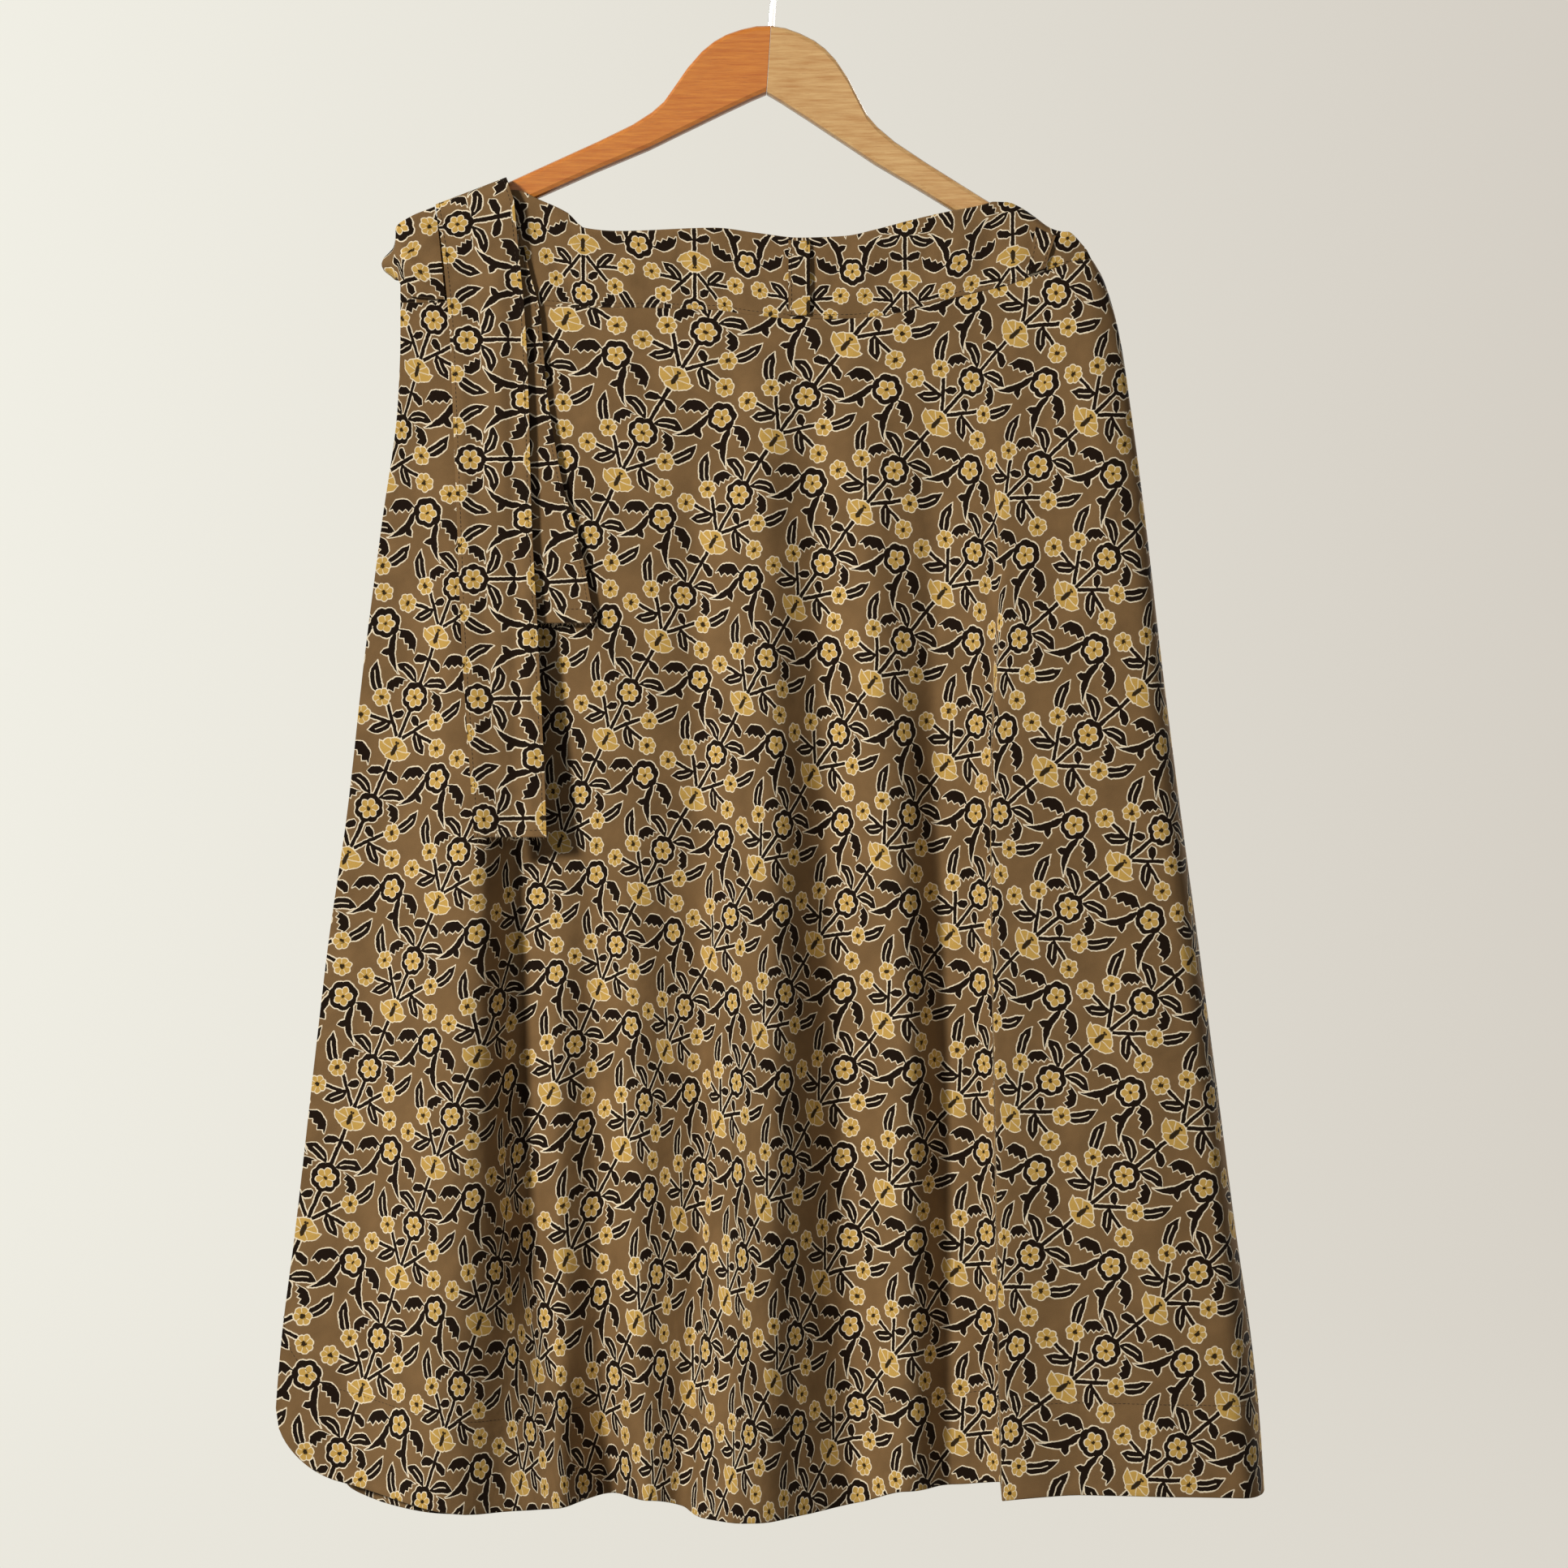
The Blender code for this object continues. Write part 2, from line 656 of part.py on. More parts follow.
def arm_ring(row, side, count=12):
    """A section of a hanger arm with rounded corners, across the arm's face."""
    if row.x > ARM_END_STARTS:
        blend = (row.x - ARM_END_STARTS) / (ARM[-1].x - ARM_END_STARTS)
        half_thick = mix(HANGER_HALF_THICK, ARM_END_HALF_THICK, blend * blend)
    else:
        half_thick = HANGER_HALF_THICK
    half_high = (row.bottom - row.top) / 2
    radius = min(HANGER_EDGE_RADIUS, half_high - 0.2, half_thick - 0.2)
    middle = (row.bottom + row.top) / 2
    ring = []
    for k in range(count):
        quarter = k * 4 // count
        angle = math.pi / 2 * (quarter + (k % (count // 4)) / (count // 4 - 1))
        corner_y = (half_thick - radius) * (1 if quarter in (0, 3) else -1)
        corner_z = (half_high - radius) * (1 if quarter in (0, 1) else -1)
        y = corner_y + radius * math.cos(angle)
        z = corner_z + radius * math.sin(angle)
        x = row.x + (HANGER_MITRE_GAP if row.x == 0 else 0)
        ring.append(Vector((side * x, y, z - middle)))
    return ring


def tilted(point, angle):
    """The hanger leans a little to its right."""
    return Matrix.Rotation(angle, 3, "Y") @ point


def add_arm(name, side, material):
    top = tilted(Vector((0, 0, -HANGER_TOP_DROP)), WIRE_TILT)
    rings = [[top + tilted(point, ARMS_TILT) for point in arm_ring(row, side)] for row in ARM]
    count = len(rings[0])
    points = [point for ring in rings for point in ring]
    faces = []
    for r in range(len(rings) - 1):
        for k in range(count):
            a, b = r * count + k, r * count + (k + 1) % count
            faces.append((a, b, b + count, a + count))
    last = (len(rings) - 1) * count
    faces.append(tuple(range(count)))
    faces.append(tuple(range(last, last + count)))
    return add_object(name, points, faces, material)


def add_hook(name, material):
    """The bent wire: a shank out of the mitre joint, a swan's neck and an open hook."""
    radius = HOOK_INNER_RADIUS + WIRE_RADIUS
    centre = Vector((0, 0, -HOOK_INNER_RADIUS))
    start, end = math.radians(-52), math.radians(196)
    foot = Vector((0, 0, -HANGER_TOP_DROP + 1.0 + SEAM_GAP))
    neck = centre + radius * Vector((math.cos(start), 0, math.sin(start)))
    way = Vector((-math.sin(start), 0, math.cos(start)))
    points = []
    for k in range(12):
        s = k / 12
        a, b = foot + Vector((0, 0, 22)), neck - way * 12
        place = foot * (1 - s) ** 3 + a * 3 * s * (1 - s) ** 2 + b * 3 * s * s * (1 - s)
        points.append(place + neck * s ** 3)
    turns = 30
    for k in range(turns + 1):
        angle = mix(start, end, k / turns)
        points.append(centre + radius * Vector((math.cos(angle), 0, math.sin(angle))))
    wire = bpy.data.curves.new(name, "CURVE")
    wire.dimensions = "3D"
    wire.bevel_depth = WIRE_RADIUS * MM
    wire.bevel_resolution = 2
    wire.use_fill_caps = True
    wire.materials.append(material)
    spline = wire.splines.new("POLY")
    spline.points.add(len(points) - 1)
    for k, point in enumerate(points):
        spline.points[k].co = (*tilted(point, WIRE_TILT) * MM, 1.0)
    obj = bpy.data.objects.new(name, wire)
    bpy.context.collection.objects.link(obj)
    return obj


def clear_scene():
    for obj in list(bpy.data.objects):
        bpy.data.objects.remove(obj, do_unlink=True)


def build_skirt():
    cotton = principled("printed_cotton", COTTON_BROWN, 0.85)
    banding = principled("band_cotton", COTTON_DARK, 0.85)
    front = front_cloth()
    band = front_band()
    from_right = Vector((-1, 0, 0))
    from_left = Vector((1, 0, 0))
    add_wall("front_panel", front.grid(even(18)), PANEL_WALL, cotton, None, from_right)
    add_wall("underlap_panel", underlap_cloth().grid(even(14)), PANEL_WALL, cotton, from_left)
    add_wall("back_panel", back_cloth().grid(even(14)), -PANEL_WALL, cotton,
             -from_left, -from_right)
    add_wall("waistband_front", band.grid(band_shares()), BAND_WALL, banding)
    add_wall("waistband_underlap", underlap_band().grid(even(4)), BAND_WALL, banding, from_left)
    add_wall("waistband_back", back_band().grid(band_shares()), -BAND_WALL, banding,
             -from_left, -from_right)
    add_wall("tie_long", long_tie_grid(front), TIE_WALL, banding)
    short = lying_strip(front, SHORT_TIE, SHORT_TIE_OUT, SHORT_TIE_FLATNESS, 5, 14)
    add_wall("tie_short", short, TIE_WALL, banding)
    add_wall("tie_fold", tie_fold_cloth().grid(even(6)), -TIE_WALL, banding)
    centre_loop = loop_grid(band, (7, 20, 7, 20), 0.04, 0.96)
    side_loop = loop_grid(band, (157, 169, 152, 163), 0.22, 0.96)
    add_wall("belt_loop_centre", centre_loop, TIE_WALL, banding)
    add_wall("belt_loop_side", side_loop, TIE_WALL, banding)


def build_hanger():
    add_arm("hanger_arm_left", -1, principled("red_wood", WOOD_RED, 0.4))
    add_arm("hanger_arm_right", 1, principled("tan_wood", WOOD_TAN, 0.4))
    add_hook("hanger_hook", principled("bright_wire", STEEL, 0.2, 1.0))


clear_scene()
build_skirt()
build_hanger()
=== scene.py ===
import math
import bmesh
import bpy
import numpy as np
from mathutils import Matrix, Vector


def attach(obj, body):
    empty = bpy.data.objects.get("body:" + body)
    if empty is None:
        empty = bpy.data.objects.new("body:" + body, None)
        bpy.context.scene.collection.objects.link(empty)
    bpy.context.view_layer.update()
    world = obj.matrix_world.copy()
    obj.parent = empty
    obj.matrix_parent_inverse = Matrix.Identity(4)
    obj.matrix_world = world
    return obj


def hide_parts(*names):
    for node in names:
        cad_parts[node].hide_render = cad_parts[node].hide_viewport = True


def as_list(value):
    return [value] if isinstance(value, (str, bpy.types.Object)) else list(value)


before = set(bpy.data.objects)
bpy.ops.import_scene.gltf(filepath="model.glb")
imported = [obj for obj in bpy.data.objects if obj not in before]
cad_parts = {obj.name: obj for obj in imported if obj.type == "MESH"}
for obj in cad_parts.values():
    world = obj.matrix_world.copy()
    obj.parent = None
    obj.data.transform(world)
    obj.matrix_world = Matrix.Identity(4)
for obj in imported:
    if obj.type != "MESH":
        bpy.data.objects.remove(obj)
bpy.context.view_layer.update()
mm = 0.001
print("frame loaded")


# camera: level, straight on to the middle of the skirt

cameraSetup = {"lens": 85.0, "sensor": 36.0, "place": (0.0043, -2.258, -0.5358)}


def addCamera(setup):
    data = bpy.data.cameras.new("skirtCamera")
    data.lens = setup["lens"]
    data.sensor_width = setup["sensor"]
    camera = bpy.data.objects.new("skirtCamera", data)
    camera.location = setup["place"]
    camera.rotation_euler = (math.radians(90), 0, 0)
    bpy.context.collection.objects.link(camera)
    bpy.context.scene.camera = camera


addCamera(cameraSetup)


# curves through short tables

def knotSlopes(knots, values):  # level at every crest and valley, so nothing overshoots
    rises = np.diff(values, axis=0) / np.diff(knots)[:, None]
    before, after = rises[:-1], rises[1:]
    together = before * after
    inner = np.where(together > 0, 2 * together / np.where(together > 0, before + after, 1), 0)
    return np.vstack([rises[:1], inner, rises[-1:]])


def hermite(a, b, slopeA, slopeB, s):
    ease = s * s * (3 - 2 * s)
    return a + (b - a) * ease + slopeA * s * (1 - s) ** 2 - slopeB * s * s * (1 - s)


def smoothCurve(knots, values):
    knots, values = np.array(list(knots), float), np.array(list(values), float)
    slopes = knotSlopes(knots, values[:, None])[:, 0]

    def at(position):
        p = np.clip(position, knots[0], knots[-1])
        i = np.clip(np.searchsorted(knots, p, side="right") - 1, 0, len(knots) - 2)
        span = knots[i + 1] - knots[i]
        s = (p - knots[i]) / span
        return hermite(values[i], values[i + 1], slopes[i] * span, slopes[i + 1] * span, s)

    return at


def level(value):
    return lambda drop: np.full(np.shape(drop), float(value))


def mix(a, b, s):
    return a + (b - a) * s


# the hanging skirt, in millimetres; a drop is a distance down from the seat of the hook

skirt = {
    "seamDrop": 245.0,
    "hemDrop": 973.0,
    "frontSwell": 34.0,
    "backSwell": 34.0,
    "underlapExtra": 6.0,
    "swellPower": 1.2,
    "frontBandY": -11.4,
    "underlapBandY": -8.7,
    "backBandY": 8.7,
    "panelStepIn": 0.4,
    "softening": 3,
    "hemDent": (55.0, 0.35, 1.1),  # how high, how deep, half width
    "sideRoundness": 1.6,
    "seamGap": 0.3,
    "silhouette": {  # drop: (left, right)
        209: (-227.5, 188.5), 217: (-227.5, 192.5), 228: (-228.5, 199),
        263: (-228.5, 209), 305: (-230, 215.5), 378: (-239.5, 225), 461: (-250, 234.5),
        553: (-260, 246), 631: (-271, 256.5),
        701: (-279, 265.5), 806: (-290.5, 279), 872: (-298.5, 288.5), 920: (-302, 293.5),
        968: (-304, 296.5),
    },
    "leftFold": {205: -224, 245: -225.5, 405: -235, 552: -243, 749: -253, 970: -263.5},
    "waist": {  # x: (top, seam, lean over the hanger)
        -228.5: (210, 243, 1), -218: (200, 243, 1), -204: (190, 243, 0), -190: (184.5, 243, 0),
        -175: (180, 243.5, 0), -159: (176, 244, 0), -144: (182, 245, 0), -127: (190, 245.5, 0),
        -117: (199, 246, 0), -97: (201, 246, 0), -38: (199, 247.5, 0), -13: (202, 251, 0),
        14: (205, 253, 0), 41: (204, 253, 0), 60: (200, 251.5, 0), 79: (195, 248, 0),
        100: (190, 242, 0), 123: (185.5, 236.5, 0), 132: (183, 234.5, 0),
        140: (181.5, 232.5, 0.9), 148: (184.5, 229.5, 1), 157: (190.5, 226, 1),
        165: (196.5, 223, 1), 171: (199.5, 221, 0.5), 178: (201.5, 219, 0),
        187: (210, 217.5, 0),
    },
    "backSeam": {-226: 247, -160: 245, -60: 248, 20: 250, 110: 247, 165: 250, 206: 258},
    "leanHeight": 8.0,
    "leanShare": 0.7,
}


def curveOf(table):
    return smoothCurve(table, table.values())


def columnOf(table, place):
    return smoothCurve(table, [row[place] for row in table.values()])


leftEdge = columnOf(skirt["silhouette"], 0)
rightEdge = columnOf(skirt["silhouette"], 1)
leftFold = curveOf(skirt["leftFold"])
waistTop = columnOf(skirt["waist"], 0)
waistSeam = columnOf(skirt["waist"], 1)
waistLean = columnOf(skirt["waist"], 2)
backSeam = curveOf(skirt["backSeam"])


def swell(drop):
    share = (drop - skirt["seamDrop"]) / (skirt["hemDrop"] - skirt["seamDrop"])
    return np.clip(share, 0, 1) ** skirt["swellPower"]


def frontY(drop):
    return skirt["frontBandY"] + skirt["panelStepIn"] - skirt["frontSwell"] * swell(drop)


def underlapY(drop):
    return skirt["underlapBandY"] + (skirt["underlapExtra"] - skirt["frontSwell"]) * swell(drop)


def backY(drop):
    return skirt["backBandY"] - skirt["panelStepIn"] + skirt["backSwell"] * swell(drop)


# cloth that runs through stations from left to right

foldDrops = (248, 405, 552, 749, 970)
tableDrops = np.arange(150.0, 1001.0, 3.0)


def station(fold, centreY=None, outwards=1, x=None, y=None):
    xs, stands, hem, steps = fold
    if y is None:
        standing = smoothCurve(foldDrops, stands)

        def y(drop):
            return centreY(drop) + outwards * standing(drop)

    return {"x": x or smoothCurve(foldDrops, xs), "y": y, "hem": hem, "steps": steps}


def clothTable(stations, finer, roundLeft=False, roundRight=False):
    order = range(len(stations))
    xs = np.array([s["x"](tableDrops) for s in stations])
    ys = np.array([s["y"](tableDrops) for s in stations])
    xSlopes, ySlopes = knotSlopes(order, xs), knotSlopes(order, ys)
    if roundLeft:
        xSlopes[0], ySlopes[0] = 0, ySlopes[0] * skirt["sideRoundness"]
    if roundRight:
        xSlopes[-1], ySlopes[-1] = 0, ySlopes[-1] * skirt["sideRoundness"]
    places = []
    for i, s in enumerate(stations[:-1]):
        count = s["steps"] * finer
        places += [i + k / count for k in range(count)]
    places = np.array(places + [len(stations) - 1.0])
    hems = smoothCurve(order, [s["hem"] for s in stations])(places)
    i = np.minimum(places.astype(int), len(stations) - 2)
    s = (places - i)[:, None]
    return {
        "places": places,
        "hems": hems,
        "x": hermite(xs[i], xs[i + 1], xSlopes[i], xSlopes[i + 1], s),
        "y": hermite(ys[i], ys[i + 1], ySlopes[i], ySlopes[i + 1], s),
    }


def readTable(values, drops):  # at one drop for each column, in one row or several
    place = (drops - tableDrops[0]) / (tableDrops[1] - tableDrops[0])
    i = np.clip(place.astype(int), 0, len(tableDrops) - 2)
    columns = np.arange(values.shape[0])
    return mix(values[columns, i], values[columns, i + 1], place - i)


def dropsOnLine(table, line, lowered=0.0):
    drops = np.full(len(table["x"]), skirt["seamDrop"])
    for _ in range(5):
        drops = line(readTable(table["x"], drops)) + lowered
    return drops


def clothGrid(table, tops, bottoms, shares, leans=False):
    drops = mix(tops, bottoms, np.array(shares)[:, None])
    x, y = readTable(table["x"], drops), readTable(table["y"], drops)
    if leans:
        over = np.clip(1 - (drops - tops) / skirt["leanHeight"], 0, 1)
        y = y * (1 - skirt["leanShare"] * waistLean(x) * (1 - np.sqrt(1 - over * over)))
    return np.stack([x, y, -drops], axis=-1)


def softened(grid, rounds):  # eases the crests and valleys and keeps the edges
    for _ in range(rounds):
        y = grid[..., 1]
        y[:, 1:-1] += 0.25 * (y[:, :-2] - 2 * y[:, 1:-1] + y[:, 2:])
    return grid


def creased(grid, creases, inwards):  # each one: x, drop, x, drop, half width, depth
    x, drop = grid[..., 0].copy(), -grid[..., 2]
    for x0, drop0, x1, drop1, width, depth in creases:
        alongX, alongDrop = x1 - x0, drop1 - drop0
        t = ((x - x0) * alongX + (drop - drop0) * alongDrop) / (alongX ** 2 + alongDrop ** 2)
        held = np.clip(t, 0, 1)
        away = np.hypot(x - x0 - held * alongX, drop - drop0 - held * alongDrop)
        fade = np.clip(1 - (2 * held - 1) ** 4, 0, 1)
        grid[..., 1] += inwards * depth * fade * np.exp(-(away / width) ** 2)
    return grid


def hemmed(grid, dent, inwards):  # the stitched line of a turned-up hem
    high, depth, width = dent
    away = (grid[-1:, :, 2] - grid[..., 2] + high) / width
    grid[..., 1] += inwards * depth * np.exp(-away * away)
    return grid


def cutOf(grid, fromX, bow=0.0):  # where each point lies on the flat cloth
    steps = np.linalg.norm(np.diff(grid, axis=1), axis=2)
    across = np.concatenate([np.zeros((len(grid), 1)), np.cumsum(steps, axis=1)], axis=1)
    start = np.array([np.interp(fromX, row[:, 0], run) for row, run in zip(grid, across)])
    down = grid[..., 2] + bow * (grid[..., 0] - fromX) ** 2
    return np.stack([across - start[:, None], down], axis=-1)


def foldCut(stations, places, table, cuts):  # the flat place of each column and drop
    # cloth between two folds is shared out by its length around them
    runs = np.hypot(np.diff(table["x"], axis=0), np.diff(table["y"], axis=0))
    runs = np.concatenate([np.zeros((1, runs.shape[1])), np.cumsum(runs, axis=0)])
    columns = np.searchsorted(places, np.arange(len(stations)) - 1e-6)
    flat = {"across": [], "bow": []}
    known = [[smoothCurve(foldDrops, row)(tableDrops) for row in fold] for fold in cuts]
    for k in range(len(tableDrops)):
        run = runs[:, k] + np.arange(len(runs)) * 1e-4
        across = smoothCurve(run[columns], [fold[0][k] for fold in known])
        flat["across"].append(across(run))
        flat["bow"].append(np.interp(run, run[columns], [fold[1][k] for fold in known]))
    return np.array(flat["across"]).T, np.array(flat["bow"]).T


def unit(vectors):
    return vectors / np.maximum(np.linalg.norm(vectors, axis=-1, keepdims=True), 1e-9)


def inwardNormals(grid):
    return unit(np.cross(np.gradient(grid, axis=1), np.gradient(grid, axis=0)))


def placePiece(name, mesh):
    piece = bpy.data.objects.new(name, mesh)
    bpy.context.collection.objects.link(piece)
    return piece


def faceOutwards(mesh):
    work = bmesh.new()
    work.from_mesh(mesh)
    bmesh.ops.recalc_face_normals(work, faces=work.faces)
    work.to_mesh(mesh)
    work.free()
    mesh.shade_smooth()


def addShell(name, grid, wall, cut, material, sideLeft=None, sideRight=None, roundness=3):
    # a closed wall with rolled upper and lower rims, its rows run out, round and back
    normals = inwardNormals(grid)
    if sideLeft is not None:
        normals[:, 0] = sideLeft
    if sideRight is not None:
        normals[:, -1] = sideRight
    inner = grid + normals * wall
    rolls = []
    for end, before in ((-1, -2), (0, 1)):
        outer, far = grid[end], inner[end]
        past = unit(grid[end] - grid[before]) * abs(wall) / 2
        angles = [math.pi * k / (roundness + 1) for k in range(1, roundness + 1)]
        middle, half = (outer + far) / 2, (outer - far) / 2
        roll = [middle + half * math.cos(a) + past * math.sin(a) for a in angles]
        rolls.append(roll if end == -1 else roll[::-1])
    ring = list(grid) + rolls[0] + list(inner[::-1]) + rolls[1]
    cuts = list(cut) + [cut[-1]] * roundness + list(cut[::-1]) + [cut[0]] * roundness
    backs = [0.0] * len(grid) + [0.5] * roundness + [1.0] * len(grid) + [0.5] * roundness
    ring, cuts = np.array(ring), np.array(cuts)
    count, columns = ring.shape[:2]
    points = ring.reshape(-1, 3) * mm
    faces = []
    for r in range(count):
        a = r * columns + np.arange(columns - 1)
        b = ((r + 1) % count) * columns + np.arange(columns - 1)
        faces += np.stack([a, b, b + 1, a + 1], axis=1).tolist()
    last = len(grid) - 1
    for c, turn in ((0, 1), (columns - 1, -1)):
        for r in range(last):
            face = [r, r + 1, count - roundness - 2 - r, count - roundness - 1 - r]
            faces.append([k * columns + c for k in face][::turn])
        foot = list(range(last, last + roundness + 2))
        head = [(count - roundness - 1 + k) % count for k in range(roundness + 2)]
        faces += [[k * columns + c for k in foot][::turn], [k * columns + c for k in head][::turn]]
    mesh = bpy.data.meshes.new(name)
    mesh.from_pydata(points.tolist(), [], faces)
    layer = mesh.uv_layers.new(name="clothMap")
    corners = np.zeros(len(mesh.loops), np.int32)
    mesh.loops.foreach_get("vertex_index", corners)
    layer.data.foreach_set("uv", (cuts.reshape(-1, 2)[corners] * mm).astype(np.float32).ravel())
    back = mesh.attributes.new("clothBack", "FLOAT", "POINT")
    back.data.foreach_set("value", np.repeat(backs, columns).astype(np.float32))
    faceOutwards(mesh)
    mesh.set_sharp_from_angle(angle=math.radians(50))
    mesh.materials.append(material)
    return placePiece(name, mesh)


def even(count):
    return [k / count for k in range(count + 1)]


fromRight = np.array([-1.0, 0, 0])
fromLeft = np.array([1.0, 0, 0])


# material trees

def calculator(tree):  # places a math node and gives back its value
    def calc(operation, *inputs, clamp=False):
        node = tree.nodes.new("ShaderNodeMath")
        node.operation = operation
        node.use_clamp = clamp
        for socket, value in zip(node.inputs, inputs):
            if isinstance(value, bpy.types.NodeSocket):
                tree.links.new(value, socket)
            else:
                socket.default_value = value
        return node.outputs[0]

    return calc


def newGroup(name, inputs, outputs):
    group = bpy.data.node_groups.new(name, "ShaderNodeTree")
    for title, kind in inputs:
        group.interface.new_socket(title, in_out="INPUT", socket_type=kind)
    for title, kind in outputs:
        group.interface.new_socket(title, in_out="OUTPUT", socket_type=kind)
    return group, group.nodes.new("NodeGroupInput"), group.nodes.new("NodeGroupOutput")


def mixColours(tree, share, a, b):
    node = tree.nodes.new("ShaderNodeMix")
    node.data_type = "RGBA"
    for socket, value in ((node.inputs[0], share), (node.inputs[6], a), (node.inputs[7], b)):
        if isinstance(value, bpy.types.NodeSocket):
            tree.links.new(value, socket)
        else:
            socket.default_value = value
    return node.outputs[2]


def noiseOf(tree, vector, scale, detail=2.0, roughness=0.5, colour=False):
    node = tree.nodes.new("ShaderNodeTexNoise")
    node.inputs["Scale"].default_value = scale
    node.inputs["Detail"].default_value = detail
    node.inputs["Roughness"].default_value = roughness
    tree.links.new(vector, node.inputs["Vector"])
    return node.outputs["Color" if colour else "Fac"]


def bumpOf(tree, height, strength, distance, over=None):
    bump = tree.nodes.new("ShaderNodeBump")
    bump.inputs["Strength"].default_value = strength
    bump.inputs["Distance"].default_value = distance
    tree.links.new(height, bump.inputs["Height"])
    if over is not None:
        tree.links.new(over, bump.inputs["Normal"])
    return bump.outputs[0]


def tinted(colour, amount):
    return tuple(amount * c for c in colour[:3]) + (1,)


def newMaterial(name, roughness=0.5, specular=0.5):
    material = bpy.data.materials.new(name)
    material.use_nodes = True
    tree = material.node_tree
    shader = tree.nodes["Principled BSDF"]
    shader.inputs["Roughness"].default_value = roughness
    shader.inputs["Specular IOR Level"].default_value = specular
    return material, tree, shader


def objectPlace(tree):
    return tree.nodes.new("ShaderNodeTexCoord").outputs["Object"]


# the block print: one repeat of a stem with flowers and leaves, mirrored on the stem.
# u runs along the stem and v away from it, both in millimetres

blockPrint = {
    "repeat": 72.8,
    "across": 50.75,
    "down": 52.0,
    "outline": 0.74,
    "ochreOutline": 0.65,
    "wobble": 1.5,
    "wobbleNoise": (0.16, 1.5),
    "ochreOff": (0.35, -0.2),
    "threads": (0.46, 0.5),  # pitch of the warp and of the weft
    "leaves": {  # base u, v, tip u, v, half width, bend, tip curl, fullness, vein, teeth
        "ringLeaf": (7.6, 2.6, 15.4, 19.2, 3.9, -1.6, 1.8, -0.3, 0.3, 0),
        "stemBud": (24.8, 0.0, 22.8, 11.0, 3.0, 0.7, 2.2, -0.6, 0, 0),
        "sideLeaf": (54.0, 8.8, 42.0, 19.4, 3.8, 0.4, -1.5, 0.1, 0.28, 0),
        "sideBud": (56.8, 10.0, 60.4, 2.6, 2.8, 0.6, 1.4, -0.4, 0, 0),
        "longLeaf": (65.6, 22.4, 82.6, 33.4, 3.9, 1.4, -1.5, 0.15, 0.3, 0),
        "toothedLeaf": (68.8, 19.2, 80.6, 10.6, 4.2, 1.5, -1.2, 0.3, 0, -1),
        "tail": (31.4, 28.4, 8.2, 18.0, 2.6, -3.0, 1.2, 0.45, 0, 0),
        "tailHook": (23.2, 25.6, 16.4, 32.6, 2.6, 1.6, 1.0, 0.0, 0, 0),
        "feather": (32.6, 28.2, 24.6, 11.4, 4.7, 2.2, -0.7, -0.1, 0, -1),
    },
    "stems": {  # from u, v, to u, v, half width
        "sideStem": (46.6, 2.0, 62.0, 15.4, 1.15),
        "shortStem": (52.4, 12.0, 51.6, 22.6, 1.1),
    },
    "mainStem": 1.25,
    "teeth": (4.0, 3.8),  # how many, and their depth
    "vein": (0.47, 0.27),  # its middle and half its length, as shares of the leaf
    "sideFullness": 0.2,
    "lotusPlace": (26.8, 27.4),
    "rings": {  # u, v, outer radius, scallops, petals, petal radius
        "ringFlower": (0.0, 0.0, 9.0, 8, 6, 5.3),
        "droopFlower": (33.6, 36.4, 9.0, 7, 5, 5.3),
    },
    "scallop": (0.9, 0.6),  # its depth, and how far it is set in
    "ringPetals": {"depth": 1.8, "inset": 1.4, "lineFrom": 1.9, "eye": 1.15, "eyeFray": 3.0},
    "roundPetals": {"depth": 0.9, "inset": 0.55, "lineFrom": 2.2, "eye": 1.5, "eyeFray": 4.5},
    "petalLine": (0.75, 1.2),  # half its width, and how far past the petals it runs
    "rounds": {  # u, v, radius, petals
        "sideFlower": (64.8, 20.4, 4.9, 6),
        "lowFlower": (50.3, 27.8, 5.1, 7),
    },
    "lotus": {
        "tip": (35.0, 1.6, 40.6, 10.8, 2.6, 0.5, 0, 0.3, 0, 0),
        "drop": (34.4, 0.0, 43.4, 0.0, 1.9, 0, 0, 0.4, 0, 0),
        "middle": (38.0, 0.0),
        "petals": (6, 1.1),  # how many, and how the cup is squeezed
        "depth": 0.7,
        "radius": 8.2,
        "sepals": (-0.678, 0.735, 33.1, 2.3),  # slants in u and v, foot, height
        "foot": 32.9,
        "lines": ((38.8, 0.4, 40.2, 8.8, 0.3), (38.6, 0.8, 34.6, 4.4, 0.28),
                  (39.8, 0.8, 44.6, 5.6, 0.28)),
        "seed": (43.2, 0.7, 2, 0.75),  # u, v, lobes, radius
    },
    "ground": (0.203, 0.116, 0.047, 1),
    "back": (0.23, 0.155, 0.085, 1),
    "cream": (0.97, 0.83, 0.60, 1),
    "black": (0.0105, 0.005, 0.0022, 1),
    "wornBlack": (0.038, 0.020, 0.009, 1),
    "ochre": (0.60, 0.365, 0.088, 1),
}


def wrapped(calc, u, centre):
    half = blockPrint["repeat"] / 2
    return calc("WRAP", calc("SUBTRACT", u, centre), half, -half)


